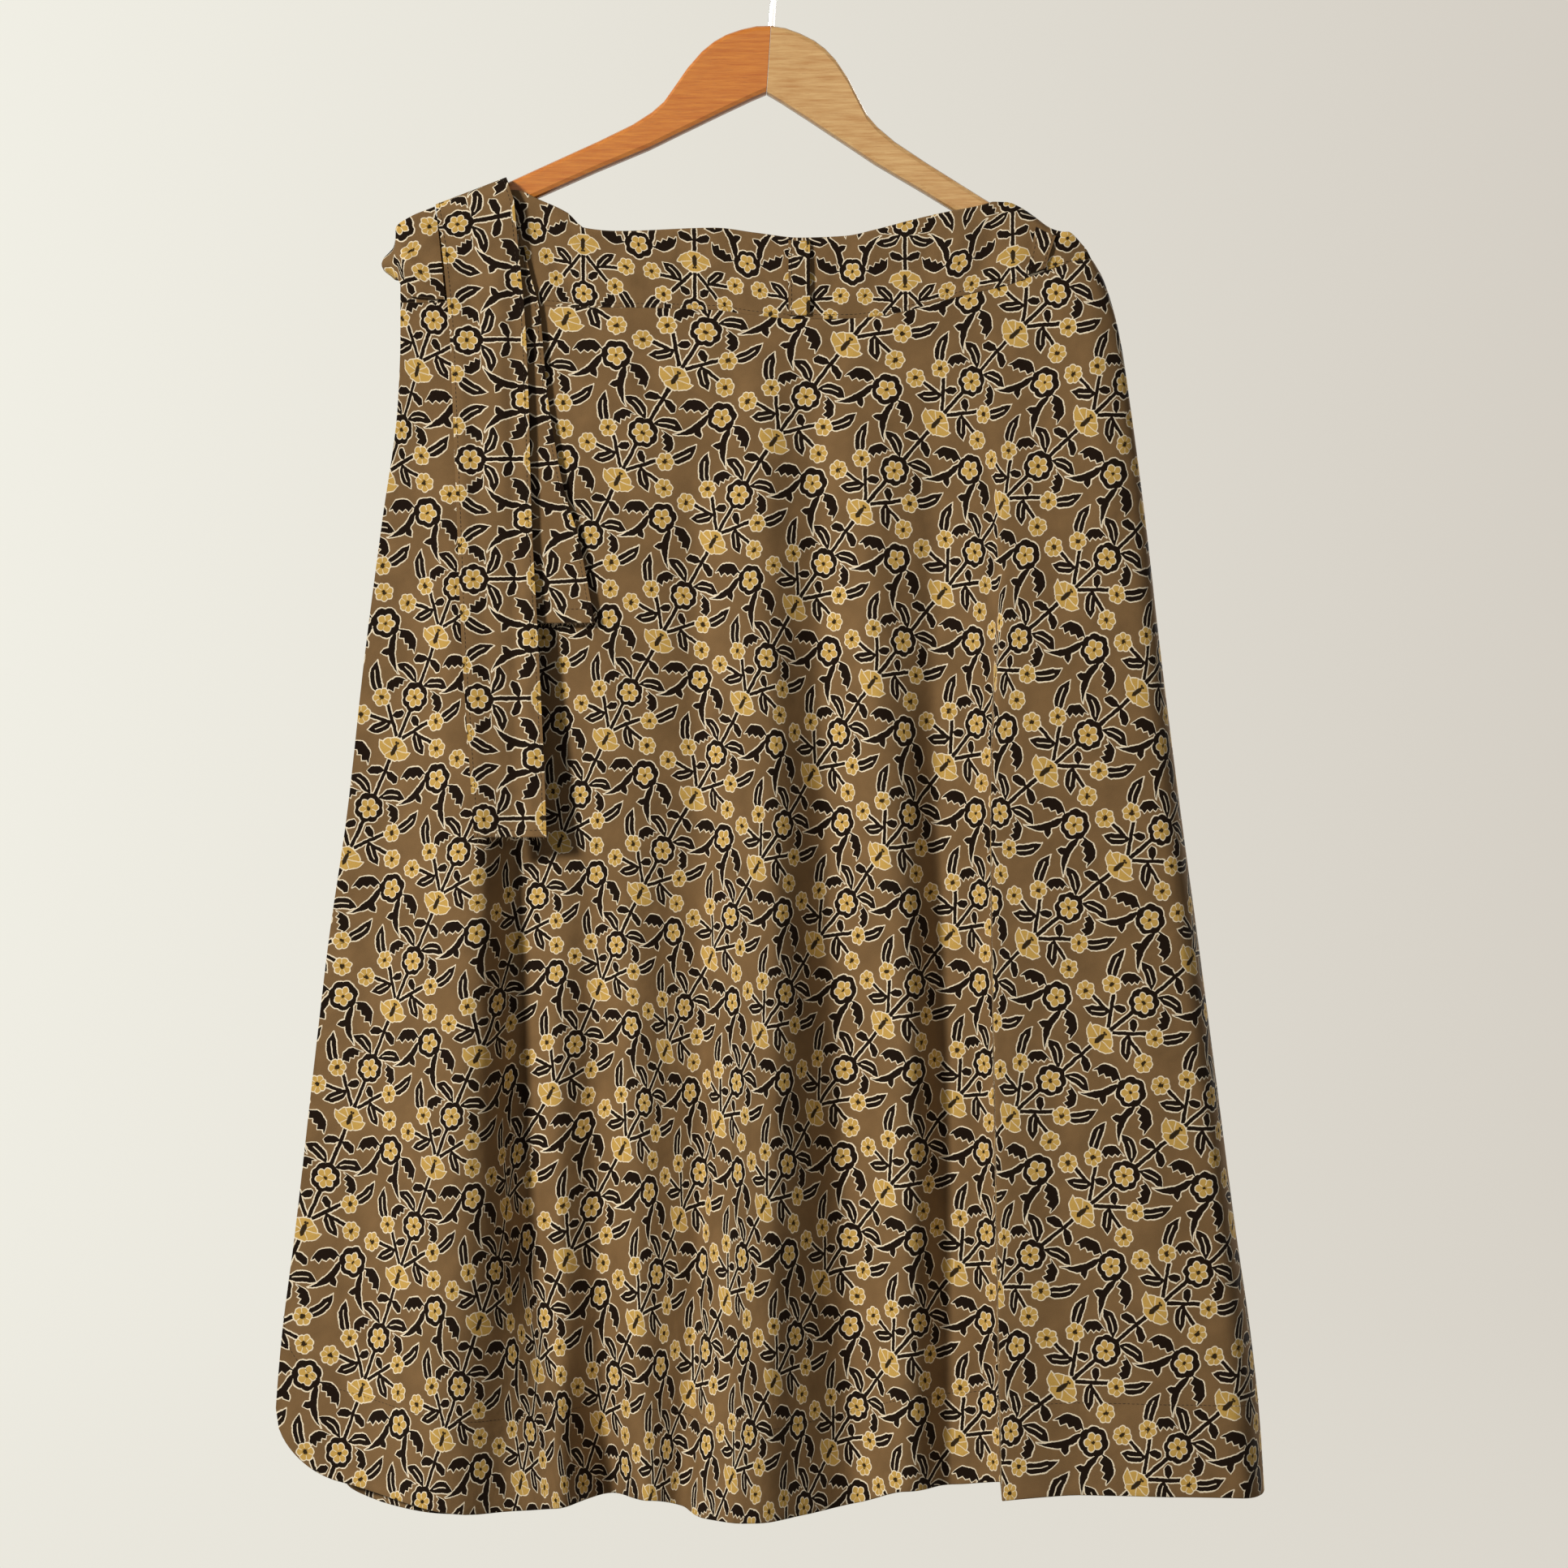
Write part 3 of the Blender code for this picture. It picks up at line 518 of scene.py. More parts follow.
def leafField(calc, u, v, leaf):
    # below 0 inside the leaf; the second value is below 0 on its vein
    u0, v0, u1, v1, halfWidth, bend, curl, full, vein, teeth = leaf
    length = math.hypot(u1 - u0, v1 - v0)
    au, av = (u1 - u0) / length, (v1 - v0) / length
    du = wrapped(calc, u, (u0 + u1) / 2)
    dv = calc("SUBTRACT", v, (v0 + v1) / 2)
    along = calc("MULTIPLY_ADD", du, au / length, calc("MULTIPLY_ADD", dv, av / length, 0.5))
    aside = calc("MULTIPLY_ADD", du, -av, calc("MULTIPLY", dv, au))
    belly = calc("MULTIPLY", along, calc("SUBTRACT", 1.0, along))
    aside = calc("MULTIPLY_ADD", belly, -4 * bend, aside)
    if curl:
        aside = calc("MULTIPLY_ADD", calc("POWER", calc("MAXIMUM", along, 0.0), 4.0), -curl, aside)
    shape = belly
    if full:
        swollen = calc("MAXIMUM", calc("MULTIPLY_ADD", along, -2 * full, 1 + full), 0.1)
        shape = calc("MULTIPLY", belly, swollen)
    shape = calc("MINIMUM", shape, blockPrint["sideFullness"])  # straight sides and blunt ends
    off = calc("ABSOLUTE", aside)
    edge = calc("MULTIPLY_ADD", shape, -4 * halfWidth, off)
    past = calc("MULTIPLY_ADD", calc("ABSOLUTE", calc("SUBTRACT", along, 0.5)), length, -length / 2)
    edge = calc("MAXIMUM", edge, past)
    if teeth:
        count, depth = blockPrint["teeth"]
        saw = calc("PINGPONG", calc("MULTIPLY", along, count), 0.5)
        onSide = calc("MULTIPLY", calc("GREATER_THAN", calc("MULTIPLY", aside, teeth), 0), saw)
        edge = calc("MULTIPLY_ADD", onSide, depth, edge)
    rib = None
    if vein:
        middle, half = blockPrint["vein"]
        reach = calc("SUBTRACT", calc("ABSOLUTE", calc("SUBTRACT", along, middle)), half)
        rib = calc("MAXIMUM", calc("SUBTRACT", off, vein), calc("MULTIPLY", reach, length))
    return edge, rib


def stemField(calc, u, v, stem):
    u0, v0, u1, v1, halfWidth = stem
    length = math.hypot(u1 - u0, v1 - v0)
    au, av = (u1 - u0) / length, (v1 - v0) / length
    du = wrapped(calc, u, (u0 + u1) / 2)
    dv = calc("SUBTRACT", v, (v0 + v1) / 2)
    along = calc("ABSOLUTE", calc("MULTIPLY_ADD", du, au, calc("MULTIPLY", dv, av)))
    aside = calc("ABSOLUTE", calc("MULTIPLY_ADD", du, -av, calc("MULTIPLY", dv, au)))
    past = calc("SUBTRACT", along, length / 2)
    return calc("MAXIMUM", calc("SUBTRACT", aside, halfWidth), past)


def roundField(calc, u, v, u0, v0, petals, stretch=1.0):  # distance and petal wave
    du, dv = wrapped(calc, u, u0), calc("SUBTRACT", v, v0)
    if stretch != 1.0:
        du = calc("MULTIPLY", du, stretch)
    reach = calc("SQRT", calc("MULTIPLY_ADD", du, du, calc("MULTIPLY", dv, dv)))
    turn = calc("ARCTAN2", dv, du)
    wave = calc("ABSOLUTE", calc("COSINE", calc("MULTIPLY", turn, petals / 2)))
    return reach, wave


def petalGap(calc, reach, petal, inside, radius):  # thin lines from the eye to the rim
    halfWidth, over = blockPrint["petalLine"]
    side = calc("SUBTRACT", calc("MULTIPLY", reach, petal), halfWidth)
    side = calc("MAXIMUM", side, calc("SUBTRACT", inside, reach))
    return calc("MAXIMUM", side, calc("SUBTRACT", reach, radius + over))


def smallest(calc, fields):
    result = fields[0]
    for field in fields[1:]:
        result = calc("MINIMUM", result, field)
    return result


def inked(calc, field, soft=0.22):  # 1 inside, with a slightly soft edge
    return calc("MULTIPLY_ADD", field, -1 / soft, 0.5, clamp=True)


def printPlace(group, calc, cloth, chart):  # u and v of a place on the cloth
    half, drift = chart["repeat"] / 2, chart["wobble"]
    wobble = group.nodes.new("ShaderNodeVectorMath")  # hand pressure and cloth shift
    wobble.operation = "MULTIPLY_ADD"
    group.links.new(noiseOf(group, cloth, *chart["wobbleNoise"], colour=True), wobble.inputs[0])
    wobble.inputs[1].default_value = (drift, drift, 0)
    group.links.new(cloth, wobble.inputs[2])
    split = group.nodes.new("ShaderNodeSeparateXYZ")
    group.links.new(wobble.outputs[0], split.inputs[0])
    right, up = (calc("MULTIPLY", calc("SUBTRACT", split.outputs[k], drift / 2), half / chart[way])
                 for k, way in enumerate(("across", "down")))
    return calc("ADD", right, up), calc("PINGPONG", calc("SUBTRACT", right, up), half)


def printFields(calc, chart, u, v, fray):  # each field is below 0 where it prints
    blacks, ribs = [], []
    for leaf in chart["leaves"].values():
        edge, rib = leafField(calc, u, v, leaf)
        blacks.append(edge)
        if rib is not None:
            ribs.append(rib)
    blacks += [stemField(calc, u, v, stem) for stem in chart["stems"].values()]
    blacks.append(calc("SUBTRACT", v, chart["mainStem"]))
    depth, inset = chart["scallop"]
    for u0, v0, outer, scallops, _, _ in chart["rings"].values():
        reach, wave = roundField(calc, u, v, u0, v0, scallops)
        blacks.append(calc("SUBTRACT", calc("MULTIPLY_ADD", wave, -depth, reach), outer - inset))

    ochreU, ochreV = (calc("ADD", place, off)  # the second block sits off
                      for place, off in zip((u, v), chart["ochreOff"]))
    flowers = [(u0, v0, radius, petals, chart["ringPetals"])
               for u0, v0, _, _, petals, radius in chart["rings"].values()]
    flowers += [(*flower, chart["roundPetals"]) for flower in chart["rounds"].values()]
    ochres, gaps, eyes = [], [], []
    for u0, v0, radius, petals, form in flowers:
        reach, petal = roundField(calc, ochreU, ochreV, u0, v0, petals)
        petalEdge = calc("MULTIPLY_ADD", petal, -form["depth"], reach)
        ochres.append(calc("SUBTRACT", petalEdge, radius - form["inset"]))
        gaps.append(petalGap(calc, reach, petal, form["lineFrom"], radius))
        eyes.append(calc("MULTIPLY_ADD", fray, form["eyeFray"], calc("SUBTRACT", reach, form["eye"])))

    lotus = chart["lotus"]
    reach, wave = roundField(calc, ochreU, ochreV, *lotus["middle"], *lotus["petals"])
    cup = calc("SUBTRACT", calc("MULTIPLY_ADD", wave, -lotus["depth"], reach), lotus["radius"])
    slantU, slantV, footU, high = lotus["sepals"]
    sepals = calc("MULTIPLY_ADD", ochreV, slantV,
                  calc("MULTIPLY", wrapped(calc, ochreU, footU), slantU))
    cup = calc("MAXIMUM", cup, calc("SUBTRACT", sepals, high))
    cup = calc("MAXIMUM", cup, calc("MULTIPLY", wrapped(calc, ochreU, lotus["foot"]), -1.0))
    ochres += [cup, leafField(calc, ochreU, ochreV, lotus["tip"])[0]]
    cupLines = [stemField(calc, ochreU, ochreV, line) for line in lotus["lines"]]
    eyes.append(leafField(calc, u, v, lotus["drop"])[0])
    seedU, seedV, lobes, seedRadius = lotus["seed"]
    eyes.append(calc("SUBTRACT", roundField(calc, u, v, seedU, seedV, lobes)[0], seedRadius))
    return [smallest(calc, fields) for fields in (blacks, ribs, ochres, gaps, cupLines, eyes)]


def printGroup(chart):
    group, start, end = newGroup(
        "blockPrintedCotton",
        [("Cloth", "NodeSocketVector"), ("Back", "NodeSocketFloat")],
        [("Color", "NodeSocketColor"), ("Height", "NodeSocketFloat")],
    )
    calc = calculator(group)
    cloth = start.outputs["Cloth"]
    u, v = printPlace(group, calc, cloth, chart)
    fray = calc("SUBTRACT", noiseOf(group, cloth, 0.6, 4.0, 0.6), 0.5)  # ink runs along threads
    black, rib, ochre, gap, cupLine, eye = printFields(calc, chart, u, v, fray)
    black = calc("MULTIPLY_ADD", fray, 1.0, black)
    ochre = calc("MULTIPLY_ADD", fray, 0.9, ochre)
    fine = noiseOf(group, cloth, 2.6, 3.0, 0.65)
    patch = noiseOf(group, cloth, 0.045, 3.0, 0.55)
    shade = calc("ADD", calc("MULTIPLY", fine, 0.55), calc("MULTIPLY", patch, 0.45))

    def uneven(cover, gain, start, first, second):  # paint that changes from place to place
        return mixColours(group, calc("MULTIPLY_ADD", cover, gain, start, clamp=True), first, second)

    colour = uneven(shade, 2.5, -0.75, tinted(chart["ground"], 0.70), tinted(chart["ground"], 1.32))
    cream = uneven(fine, 1.9, -0.85, chart["cream"], tinted(chart["cream"], 0.62))
    ochrePaint = uneven(fine, 2.2, -0.6, tinted(chart["ochre"], 0.72), tinted(chart["ochre"], 1.25))
    blackPaint = uneven(fine, 2.4, -1.3, chart["black"], chart["wornBlack"])

    inOchre = inked(calc, ochre, 0.3)
    lines = calc("MAXIMUM", inked(calc, gap, 0.25), inked(calc, cupLine, 0.3))
    layers = (  # on the ground: resist lines, the black block, its veins, ochre, its lines, eyes
        (inked(calc, calc("SUBTRACT", black, chart["outline"]), 0.35), cream),
        (inked(calc, black), blackPaint),
        (inked(calc, rib, 0.3), cream),
        (inked(calc, calc("SUBTRACT", ochre, chart["ochreOutline"]), 0.3), cream),
        (inOchre, ochrePaint),
        (calc("MULTIPLY", calc("MULTIPLY", lines, inOchre), 0.75), cream),
        (calc("MULTIPLY", inked(calc, eye, 0.4), 0.96), blackPaint),
    )
    for share, paint in layers:
        colour = mixColours(group, share, colour, paint)

    # the threads show as a fine grain, and the back of the cloth is paler
    place = group.nodes.new("ShaderNodeSeparateXYZ")
    group.links.new(cloth, place.inputs[0])
    warp, weft = (calc("SINE", calc("MULTIPLY", place.outputs[k], 2 * math.pi / chart["threads"][k]))
                  for k in (0, 1))
    weave = calc("MULTIPLY", warp, weft)
    slub = noiseOf(group, cloth, 5.5, 2.0, 0.7)
    grain = calc("MULTIPLY_ADD", weave, 0.05, calc("MULTIPLY_ADD", slub, 0.36, 0.82))
    shaded = group.nodes.new("ShaderNodeVectorMath")
    shaded.operation = "SCALE"
    group.links.new(colour, shaded.inputs[0])
    group.links.new(grain, shaded.inputs["Scale"])
    back = calc("MULTIPLY", start.outputs["Back"], 0.55)
    final = mixColours(group, back, shaded.outputs[0], chart["back"])
    group.links.new(final, end.inputs["Color"])
    height = calc("ADD", calc("MULTIPLY", weave, 0.5), calc("MULTIPLY", slub, 0.8))
    group.links.new(height, end.inputs["Height"])
    return group


printedCotton = printGroup(blockPrint)
print("print charted, with", len(printedCotton.nodes), "nodes")

cottonFinish = {
    "roughness": 0.85,
    "specular": 0.08,
    "threadBump": (0.35, 0.00012),
    "wrinkleBump": (0.5, 0.0022),  # soft wear wrinkles
    "wrinkleNoise": (0.055, 3.0, 0.45),
}


def cottonMaterial(name, turn=0.0, onPiece=(0.0, 0.0), onPrint=(0.0, 0.0)):
    # the piece is cut at a turn in degrees, with one of its places on a place of the print
    material, tree, shader = newMaterial(name, cottonFinish["roughness"], cottonFinish["specular"])
    where = tree.nodes.new("ShaderNodeUVMap")
    where.uv_map = "clothMap"
    mapping = tree.nodes.new("ShaderNodeMapping")
    mapping.inputs["Scale"].default_value = (1 / mm,) * 3
    mapping.inputs["Rotation"].default_value = (0, 0, math.radians(turn))
    moved = Matrix.Rotation(math.radians(turn), 2) @ Vector(onPiece)
    mapping.inputs["Location"].default_value = (onPrint[0] - moved.x, onPrint[1] - moved.y, 0)
    tree.links.new(where.outputs[0], mapping.inputs["Vector"])
    printed = tree.nodes.new("ShaderNodeGroup")
    printed.node_tree = printedCotton
    tree.links.new(mapping.outputs[0], printed.inputs["Cloth"])
    back = tree.nodes.new("ShaderNodeAttribute")
    back.attribute_name = "clothBack"
    tree.links.new(back.outputs["Fac"], printed.inputs["Back"])
    tree.links.new(printed.outputs["Color"], shader.inputs["Base Color"])
    wrinkles = noiseOf(tree, mapping.outputs[0], *cottonFinish["wrinkleNoise"])
    crumpled = bumpOf(tree, wrinkles, *cottonFinish["wrinkleBump"])
    woven = bumpOf(tree, printed.outputs["Height"], *cottonFinish["threadBump"], crumpled)
    tree.links.new(woven, shader.inputs["Normal"])
    return material


# the overlap panel in front; each fold: x at five drops, how far it stands out, hem, steps

frontPanel = {
    "wall": 1.3,
    "printAt": (0.0, -289.5),  # where the print starts on this piece
    "finer": 3,
    "rows": 200,
    "folds": {
        "edge": (None, (0, -2, -5, -9, -12), 944, 6),
        "corner": ((-214, -221, -235, -254, -258), (0, -2, -3, -4, -6), 955, 4),
        "leftCrest": ((-193, -193, -179, -178, -171), (0, 2, 11, 19, 25), 969.5, 6),
        "leftValley": ((-151, -154, -156, -151, -108), (0, -2, -9, -16, -19), 966, 5),
        "lowRise": ((-92, -92, -92, -89, -76), (0, 2, 3, 4, 2), 964, 3),
        "lowValley": ((-55, -52, -49, -47, -58), (0, -1, -4, -8, -8), 968, 3),
        "steepTop": ((-38, -36, -33, -35, -45), (0, 2, 5, 10, 10), 972, 3),
        "middleCrest": ((-13, -9, -4, -3, -11), (0, 6, 12, 20, 22), 973, 5),
        "middleValley": ((16, 22, 30, 41, 47), (0, -6, -11, -17, -15), 968, 4),
        "rightCrest": ((46, 55, 67, 76, 76), (0, 3, 7, 6, 3), 958, 3),
        "rightValley": ((80, 87, 95, 101, 103), (0, -4, -9, -12, -12), 957.5, 4),
        "foldRoot": ((117, 130, 129, 131, 134), (0, -2, -6, -7, -6), 954, 3),
        "foldLip": ((134, 138, 129, 131, 134), (0, 2, 8, 12, 14), 961.5, 4),
        "rightFlat": ((160, 168, 172, 176, 180), (0, 1, 6, 9, 10), 959, 4),
        "rightTurn": ((190, 215, 233, 258, 279), (-1, -1, 1, 4, 5), 961.5, 5),
        "sideSeam": (None, None, 963.5, 0),
    },
    "cut": {  # where each fold lies on the flat cloth at the same drops: across, bow
        "edge": ((-323, -402, -470, -561, -663), (76, 95, 110, 123, 148)),
        "corner": ((-308, -380, -446, -532, -616), (70, 86, 100, 111, 128)),
        "leftCrest": ((-287, -350, -386, -444, -513), (63, 74, 73, 73, 78)),
        "leftValley": ((-246, -306, -352, -397, -396), (50, 57, 60, 50, 40)),
        "lowRise": ((-192, -237, -275, -322, -330), (34, 37, 33, 24, 25)),
        "lowValley": ((-160, -194, -226, -252, -292), (26, 27, 22, 12, 19)),
        "steepTop": ((-145, -176, -204, -227, -265), (23, 23, 18, 9, 15)),
        "middleCrest": ((-123, -145, -163, -166, -198), (17, 15, 12, 6, 6)),
        "middleValley": ((-97, -109, -115, -102, -106), (12, 9, 8, 2, -4)),
        "rightCrest": ((-69, -72, -67, -61, -65), (7, 5, 5, 0, -6)),
        "rightValley": ((-38, -37, -32, -30, -29), (4, 3, 4, -1, -6)),
        "foldRoot": ((-2, 14, 11, 9, 12), (2, 1, 1, -2, -8)),
        "foldLip": ((15, 34, 43, 67, 100), (1, 1, 3, 5, 7)),
        "rightFlat": ((41, 68, 91, 117, 146), (0, 3, 8, 9, 12)),
        "rightTurn": ((72, 118, 152, 199, 247), (0, 7, 14, 18, 23)),
        "sideSeam": ((95, 141, 187, 239, 297), (1, 8, 16, 20, 24)),
    },
    "cornerWidth": 42.0,
    "cornerHeight": 33.0,
    "creases": (  # x, drop, x, drop, half width, depth inwards
        (-163, 540, -175, 1220, 15, 9.0), (-138, 640, -119, 1180, 9, -9.0),
        (-113, 570, -90, 1230, 12.5, 17.0), (-158, 790, -153, 1400, 17, 13.0),
        (-206, 700, -213, 1400, 15, -4.5), (94, 290, 106, 1180, 9, 5.6),
        (113, 420, 122, 1180, 11, 3.0), (80, 420, 88, 1120, 8, -2.0),
        (-46, 250, -44, 300, 5, -0.7), (-72, 250, -80, 310, 6, 0.8),
        (36, 256, 40, 315, 6, 0.8), (60, 254, 66, 300, 5, -0.6),
        (120, 240, 128, 300, 6, 0.7), (-66, 560, -72, 1090, 10, 2.4),
        (24, 300, 34, 640, 8, 2.0), (-104, 330, -84, 560, 12, 1.2),
        (-30, 690, -22, 1130, 9, -2.4), (58, 260, 40, 430, 9, 1.3),
        (-20, 252, -40, 380, 9, 1.1), (150, 270, 176, 460, 12, 1.4),
        (186, 240, 204, 420, 8, -1.2), (-100, 250, -82, 350, 8, -0.9),
        (104, 330, 117, 560, 8, 1.6), (160, 640, 186, 1110, 14, 1.8),
        (212, 560, 236, 1080, 13, -1.8), (-232, 520, -262, 1000, 13, 1.8),
        (-212, 640, -232, 1100, 14, -2.2), (-186, 560, -190, 900, 10, -1.6),
        (-50, 300, -46, 520, 10, 1.2), (5, 700, 14, 1120, 9, 2.0),
    ),
}


def frontStations(panel):
    folds = list(panel["folds"].values())
    stations = [station(folds[0], frontY, -1, x=leftEdge)]
    stations += [station(fold, frontY, -1) for fold in folds[1:-1]]
    return stations + [station(folds[-1], x=rightEdge, y=level(-skirt["seamGap"] / 2))]


def panelGrid(panel, table, seam, hems, creases, inwards):
    tops = dropsOnLine(table, seam, skirt["seamGap"])
    grid = clothGrid(table, tops, hems, even(panel["rows"]))
    return creased(softened(grid, skirt["softening"]), creases, inwards)


def roundedHems(table, panel):
    drops = table["hems"]
    across = readTable(table["x"], drops) - leftEdge(drops)
    past = 1 - np.minimum(across / panel["cornerWidth"], 1)
    return drops + panel["cornerHeight"] * (np.sqrt(np.maximum(1 - past * past, 0)) - 1)


frontTable = clothTable(frontStations(frontPanel), frontPanel["finer"], roundRight=True)
frontGrid = panelGrid(frontPanel, frontTable, waistSeam, roundedHems(frontTable, frontPanel),
                      frontPanel["creases"], 1)
frontGrid = hemmed(frontGrid, skirt["hemDent"], 1)
across, bow = foldCut(frontStations(frontPanel), frontTable["places"], frontTable,
                      frontPanel["cut"].values())
frontCut = np.stack([readTable(across, -frontGrid[..., 2]),
                     frontGrid[..., 2] + readTable(bow, -frontGrid[..., 2])], axis=-1)
front = addShell("overlapPanel", frontGrid, frontPanel["wall"], frontCut,
                 cottonMaterial("overlapCotton", 0, frontPanel["printAt"]), None, fromRight)
print("overlap panel hung")


# the underlap panel behind it

underlapPanel = {
    "wall": 1.3,
    "printAt": (-22.0, -300.0),
    "bow": (-90.0, 3e-4),  # where the print runs straight down, and how it bows to each side
    "finer": 3,
    "rows": 110,
    "follows": ("leftCrest", "leftValley", "lowRise", "lowValley", "steepTop",
                "middleCrest", "middleValley"),
    "calmer": 0.85,
    "turn": ((-214, -220, -225, -232, -241), (-1, -2, -3, -4, -6), 966, 5),
    "freeEdge": ((52, 54, 60, 68, 72), (0, 2, 3, 3, 2), 958, 0),
    "steps": 4,
}


def underlapStations(panel):
    first = (None, None, 959, panel["steps"])
    stations = [station(first, x=leftFold, y=level(-skirt["seamGap"] / 2))]
    stations.append(station(panel["turn"], underlapY, -1))
    for name in panel["follows"]:
        xs, stands, hem, _ = frontPanel["folds"][name]
        calmer = (xs, [panel["calmer"] * s for s in stands], hem + 1, panel["steps"])
        stations.append(station(calmer, underlapY, -1))
    return stations + [station(panel["freeEdge"], underlapY, -1)]


underlapTable = clothTable(underlapStations(underlapPanel), underlapPanel["finer"], roundLeft=True)
underlapGrid = panelGrid(underlapPanel, underlapTable, waistSeam, underlapTable["hems"],
                         frontPanel["creases"], 1)
underlap = addShell("underlapPanel", underlapGrid, underlapPanel["wall"],
                    cutOf(underlapGrid, *underlapPanel["bow"]),
                    cottonMaterial("underlapCotton", 0, underlapPanel["printAt"]), fromLeft, None)


# the back panel

backPanel = {
    "wall": 1.3,
    "printAt": (-10.0, -262.0),
    "bow": (0.0, 4e-4),
    "finer": 3,
    "rows": 130,
    "folds": {
        "leftFold": (None, None, 962, 5),
        "leftTurn": ((-211, -218, -226, -232, -238), (0, -1, -3, -3, -3), 964, 4),
        "crest1": ((-180, -184, -187, -190, -192), (0, 2, 5, 9, 12), 968, 4),
        "valley1": ((-132, -134, -136, -139, -141), (0, -2, -5, -8, -10), 961, 4),
        "crest2": ((-84, -84, -86, -88, -88), (0, 2, 5, 9, 12), 967, 4),
        "valley2": ((-30, -29, -28, -27, -25), (0, -3, -6, -9, -11), 959, 4),
        "crest3": ((26, 28, 31, 35, 38), (0, 2, 5, 8, 9), 965, 4),
        "valley3": ((78, 83, 88, 94, 98), (0, -2, -5, -9, -12), 957, 4),
        "crest4": ((126, 134, 142, 152, 158), (0, 2, 6, 10, 13), 966, 4),
        "rightTurn": ((192, 200, 209, 225, 236), (0, -1, -3, -2, -2), 964, 5),
        "sideSeam": (None, None, 962, 0),
    },
    "creases": (
        (-160, 300, -176, 620, 10, 1.6), (-133, 440, -139, 1180, 14, 8.0),
        (-58, 260, -64, 560, 9, 1.2), (-58, 560, -54, 1180, 12, -4.0),
        (-24, 420, -21, 1160, 12, 6.0), (40, 640, 46, 1160, 11, -3.0),
        (58, 300, 66, 900, 10, -1.8), (90, 500, 101, 1180, 13, 8.5),
        (150, 260, 172, 500, 10, 1.4), (160, 520, 176, 1160, 13, -3.6),
        (-200, 460, -214, 1140, 12, 5.0),
    ),
}


def backStations(panel):
    folds = list(panel["folds"].values())
    side = level(skirt["seamGap"] / 2)
    stations = [station(folds[0], x=leftFold, y=side)]
    stations += [station(fold, backY, 1) for fold in folds[1:-1]]
    return stations + [station(folds[-1], x=rightEdge, y=side)]


backTable = clothTable(backStations(backPanel), backPanel["finer"], True, True)
backGrid = panelGrid(backPanel, backTable, backSeam, backTable["hems"], backPanel["creases"], -1)
backGrid = hemmed(backGrid, skirt["hemDent"], -1)
back = addShell("backPanel", backGrid, -backPanel["wall"], cutOf(backGrid, *backPanel["bow"]),
                cottonMaterial("backCotton", 0, backPanel["printAt"]), -fromLeft, -fromRight)
print("underlap and back panels hung")


# the waistband, in the three lengths that show

waistband = {
    "wall": 1.9,
    "turn": 14.0,
    "pitch": 9.0,
    "height": 48.0,
    "finer": 3,
    "underlapLower": 9.0,
    "printTurn": 135,
    "printAt": (-117.9, -208.7),
    "printMiddle": -208.7,
    "printSqueeze": 1.12,
    "marks": (  # x, its place along the strip of print, how far the print is lowered
        (-240, -252.0, -12.0), (-147, -154.3, -4.0), (-117.8, -117.9, -0.9),
        (-49.9, -45.1, 8.9), (14.2, 27.7, 18.5), (78.2, 100.5, 18.8),
        (143.7, 173.3, 3.0), (190, 224.0, -6.0),
    ),
    "creases": (  # x, drop, x, drop, half width, depth inwards
        (-150, 196, -118, 244, 5, 1.4), (-136, 192, -104, 236, 4, -0.9),
        (-60, 202, -52, 246, 5, 1.0), (-86, 204, -90, 246, 6, -0.8),
        (-24, 202, -32, 244, 6, 0.9), (40, 208, 32, 250, 5, 0.9),
        (60, 204, 46, 246, 4, -0.8), (96, 194, 84, 240, 5, 1.1),
        (118, 190, 98, 238, 4, -0.9), (134, 188, 122, 232, 5, 1.2),
        (158, 196, 150, 226, 4, 1.1), (172, 204, 164, 222, 4, -0.8),
        (103.2, 188, 99.3, 246, 1.0, 0.6), (-112, 206, -64, 212, 5, 0.8),
        (52, 222, 96, 226, 5, 0.8),
    ),
}


def bandStations(band, y, left, right, leftY=None, rightY=None):
    middle = skirt["seamDrop"] - band["height"] / 2
    first = float(left(middle)) + band["turn"]
    last = float(right(middle)) - band["turn"]
    count = round((last - first) / band["pitch"])
    stations = [{"x": left, "y": level(y if leftY is None else leftY), "hem": 0, "steps": 4}]
    for k in range(count + 1):
        stations.append({"x": level(mix(first, last, k / count)), "y": level(y), "hem": 0,
                         "steps": 1 if k < count else 4})
    stations.append({"x": right, "y": level(y if rightY is None else rightY), "hem": 0,
                     "steps": 0})
    return stations


def bandShares(band):
    lean = skirt["leanHeight"] / band["height"]
    return [lean * (k / 8) ** 1.5 for k in range(8)] + [mix(lean, 1, k / 18) for k in range(19)]


def bandCut(grid, marks):  # a strip of print that runs a little uphill along the band
    xs, acrossFlat, lowered = np.array(marks).T
    across = np.interp(grid[..., 0], xs, acrossFlat)
    down = grid[..., 2] + smoothCurve(xs, lowered)(grid[..., 0])
    middle = waistband["printMiddle"]
    return np.stack([across, middle + waistband["printSqueeze"] * (down - middle)], axis=-1)


def addBand(name, stations, seam, material, wall, lowered=0.0, leans=True,
            roundLeft=False, roundRight=False, sides=(None, None), marks=None, creases=()):
    table = clothTable(stations, waistband["finer"], roundLeft, roundRight)
    grid = clothGrid(table, dropsOnLine(table, waistTop, lowered), dropsOnLine(table, seam),
                     bandShares(waistband), leans)
    cut = cutOf(grid, 0.0) if marks is None else bandCut(grid, marks)
    grid = creased(grid, creases, 1)
    bandGrids.append(grid)
    return addShell(name, grid, wall, cut, material, *sides)


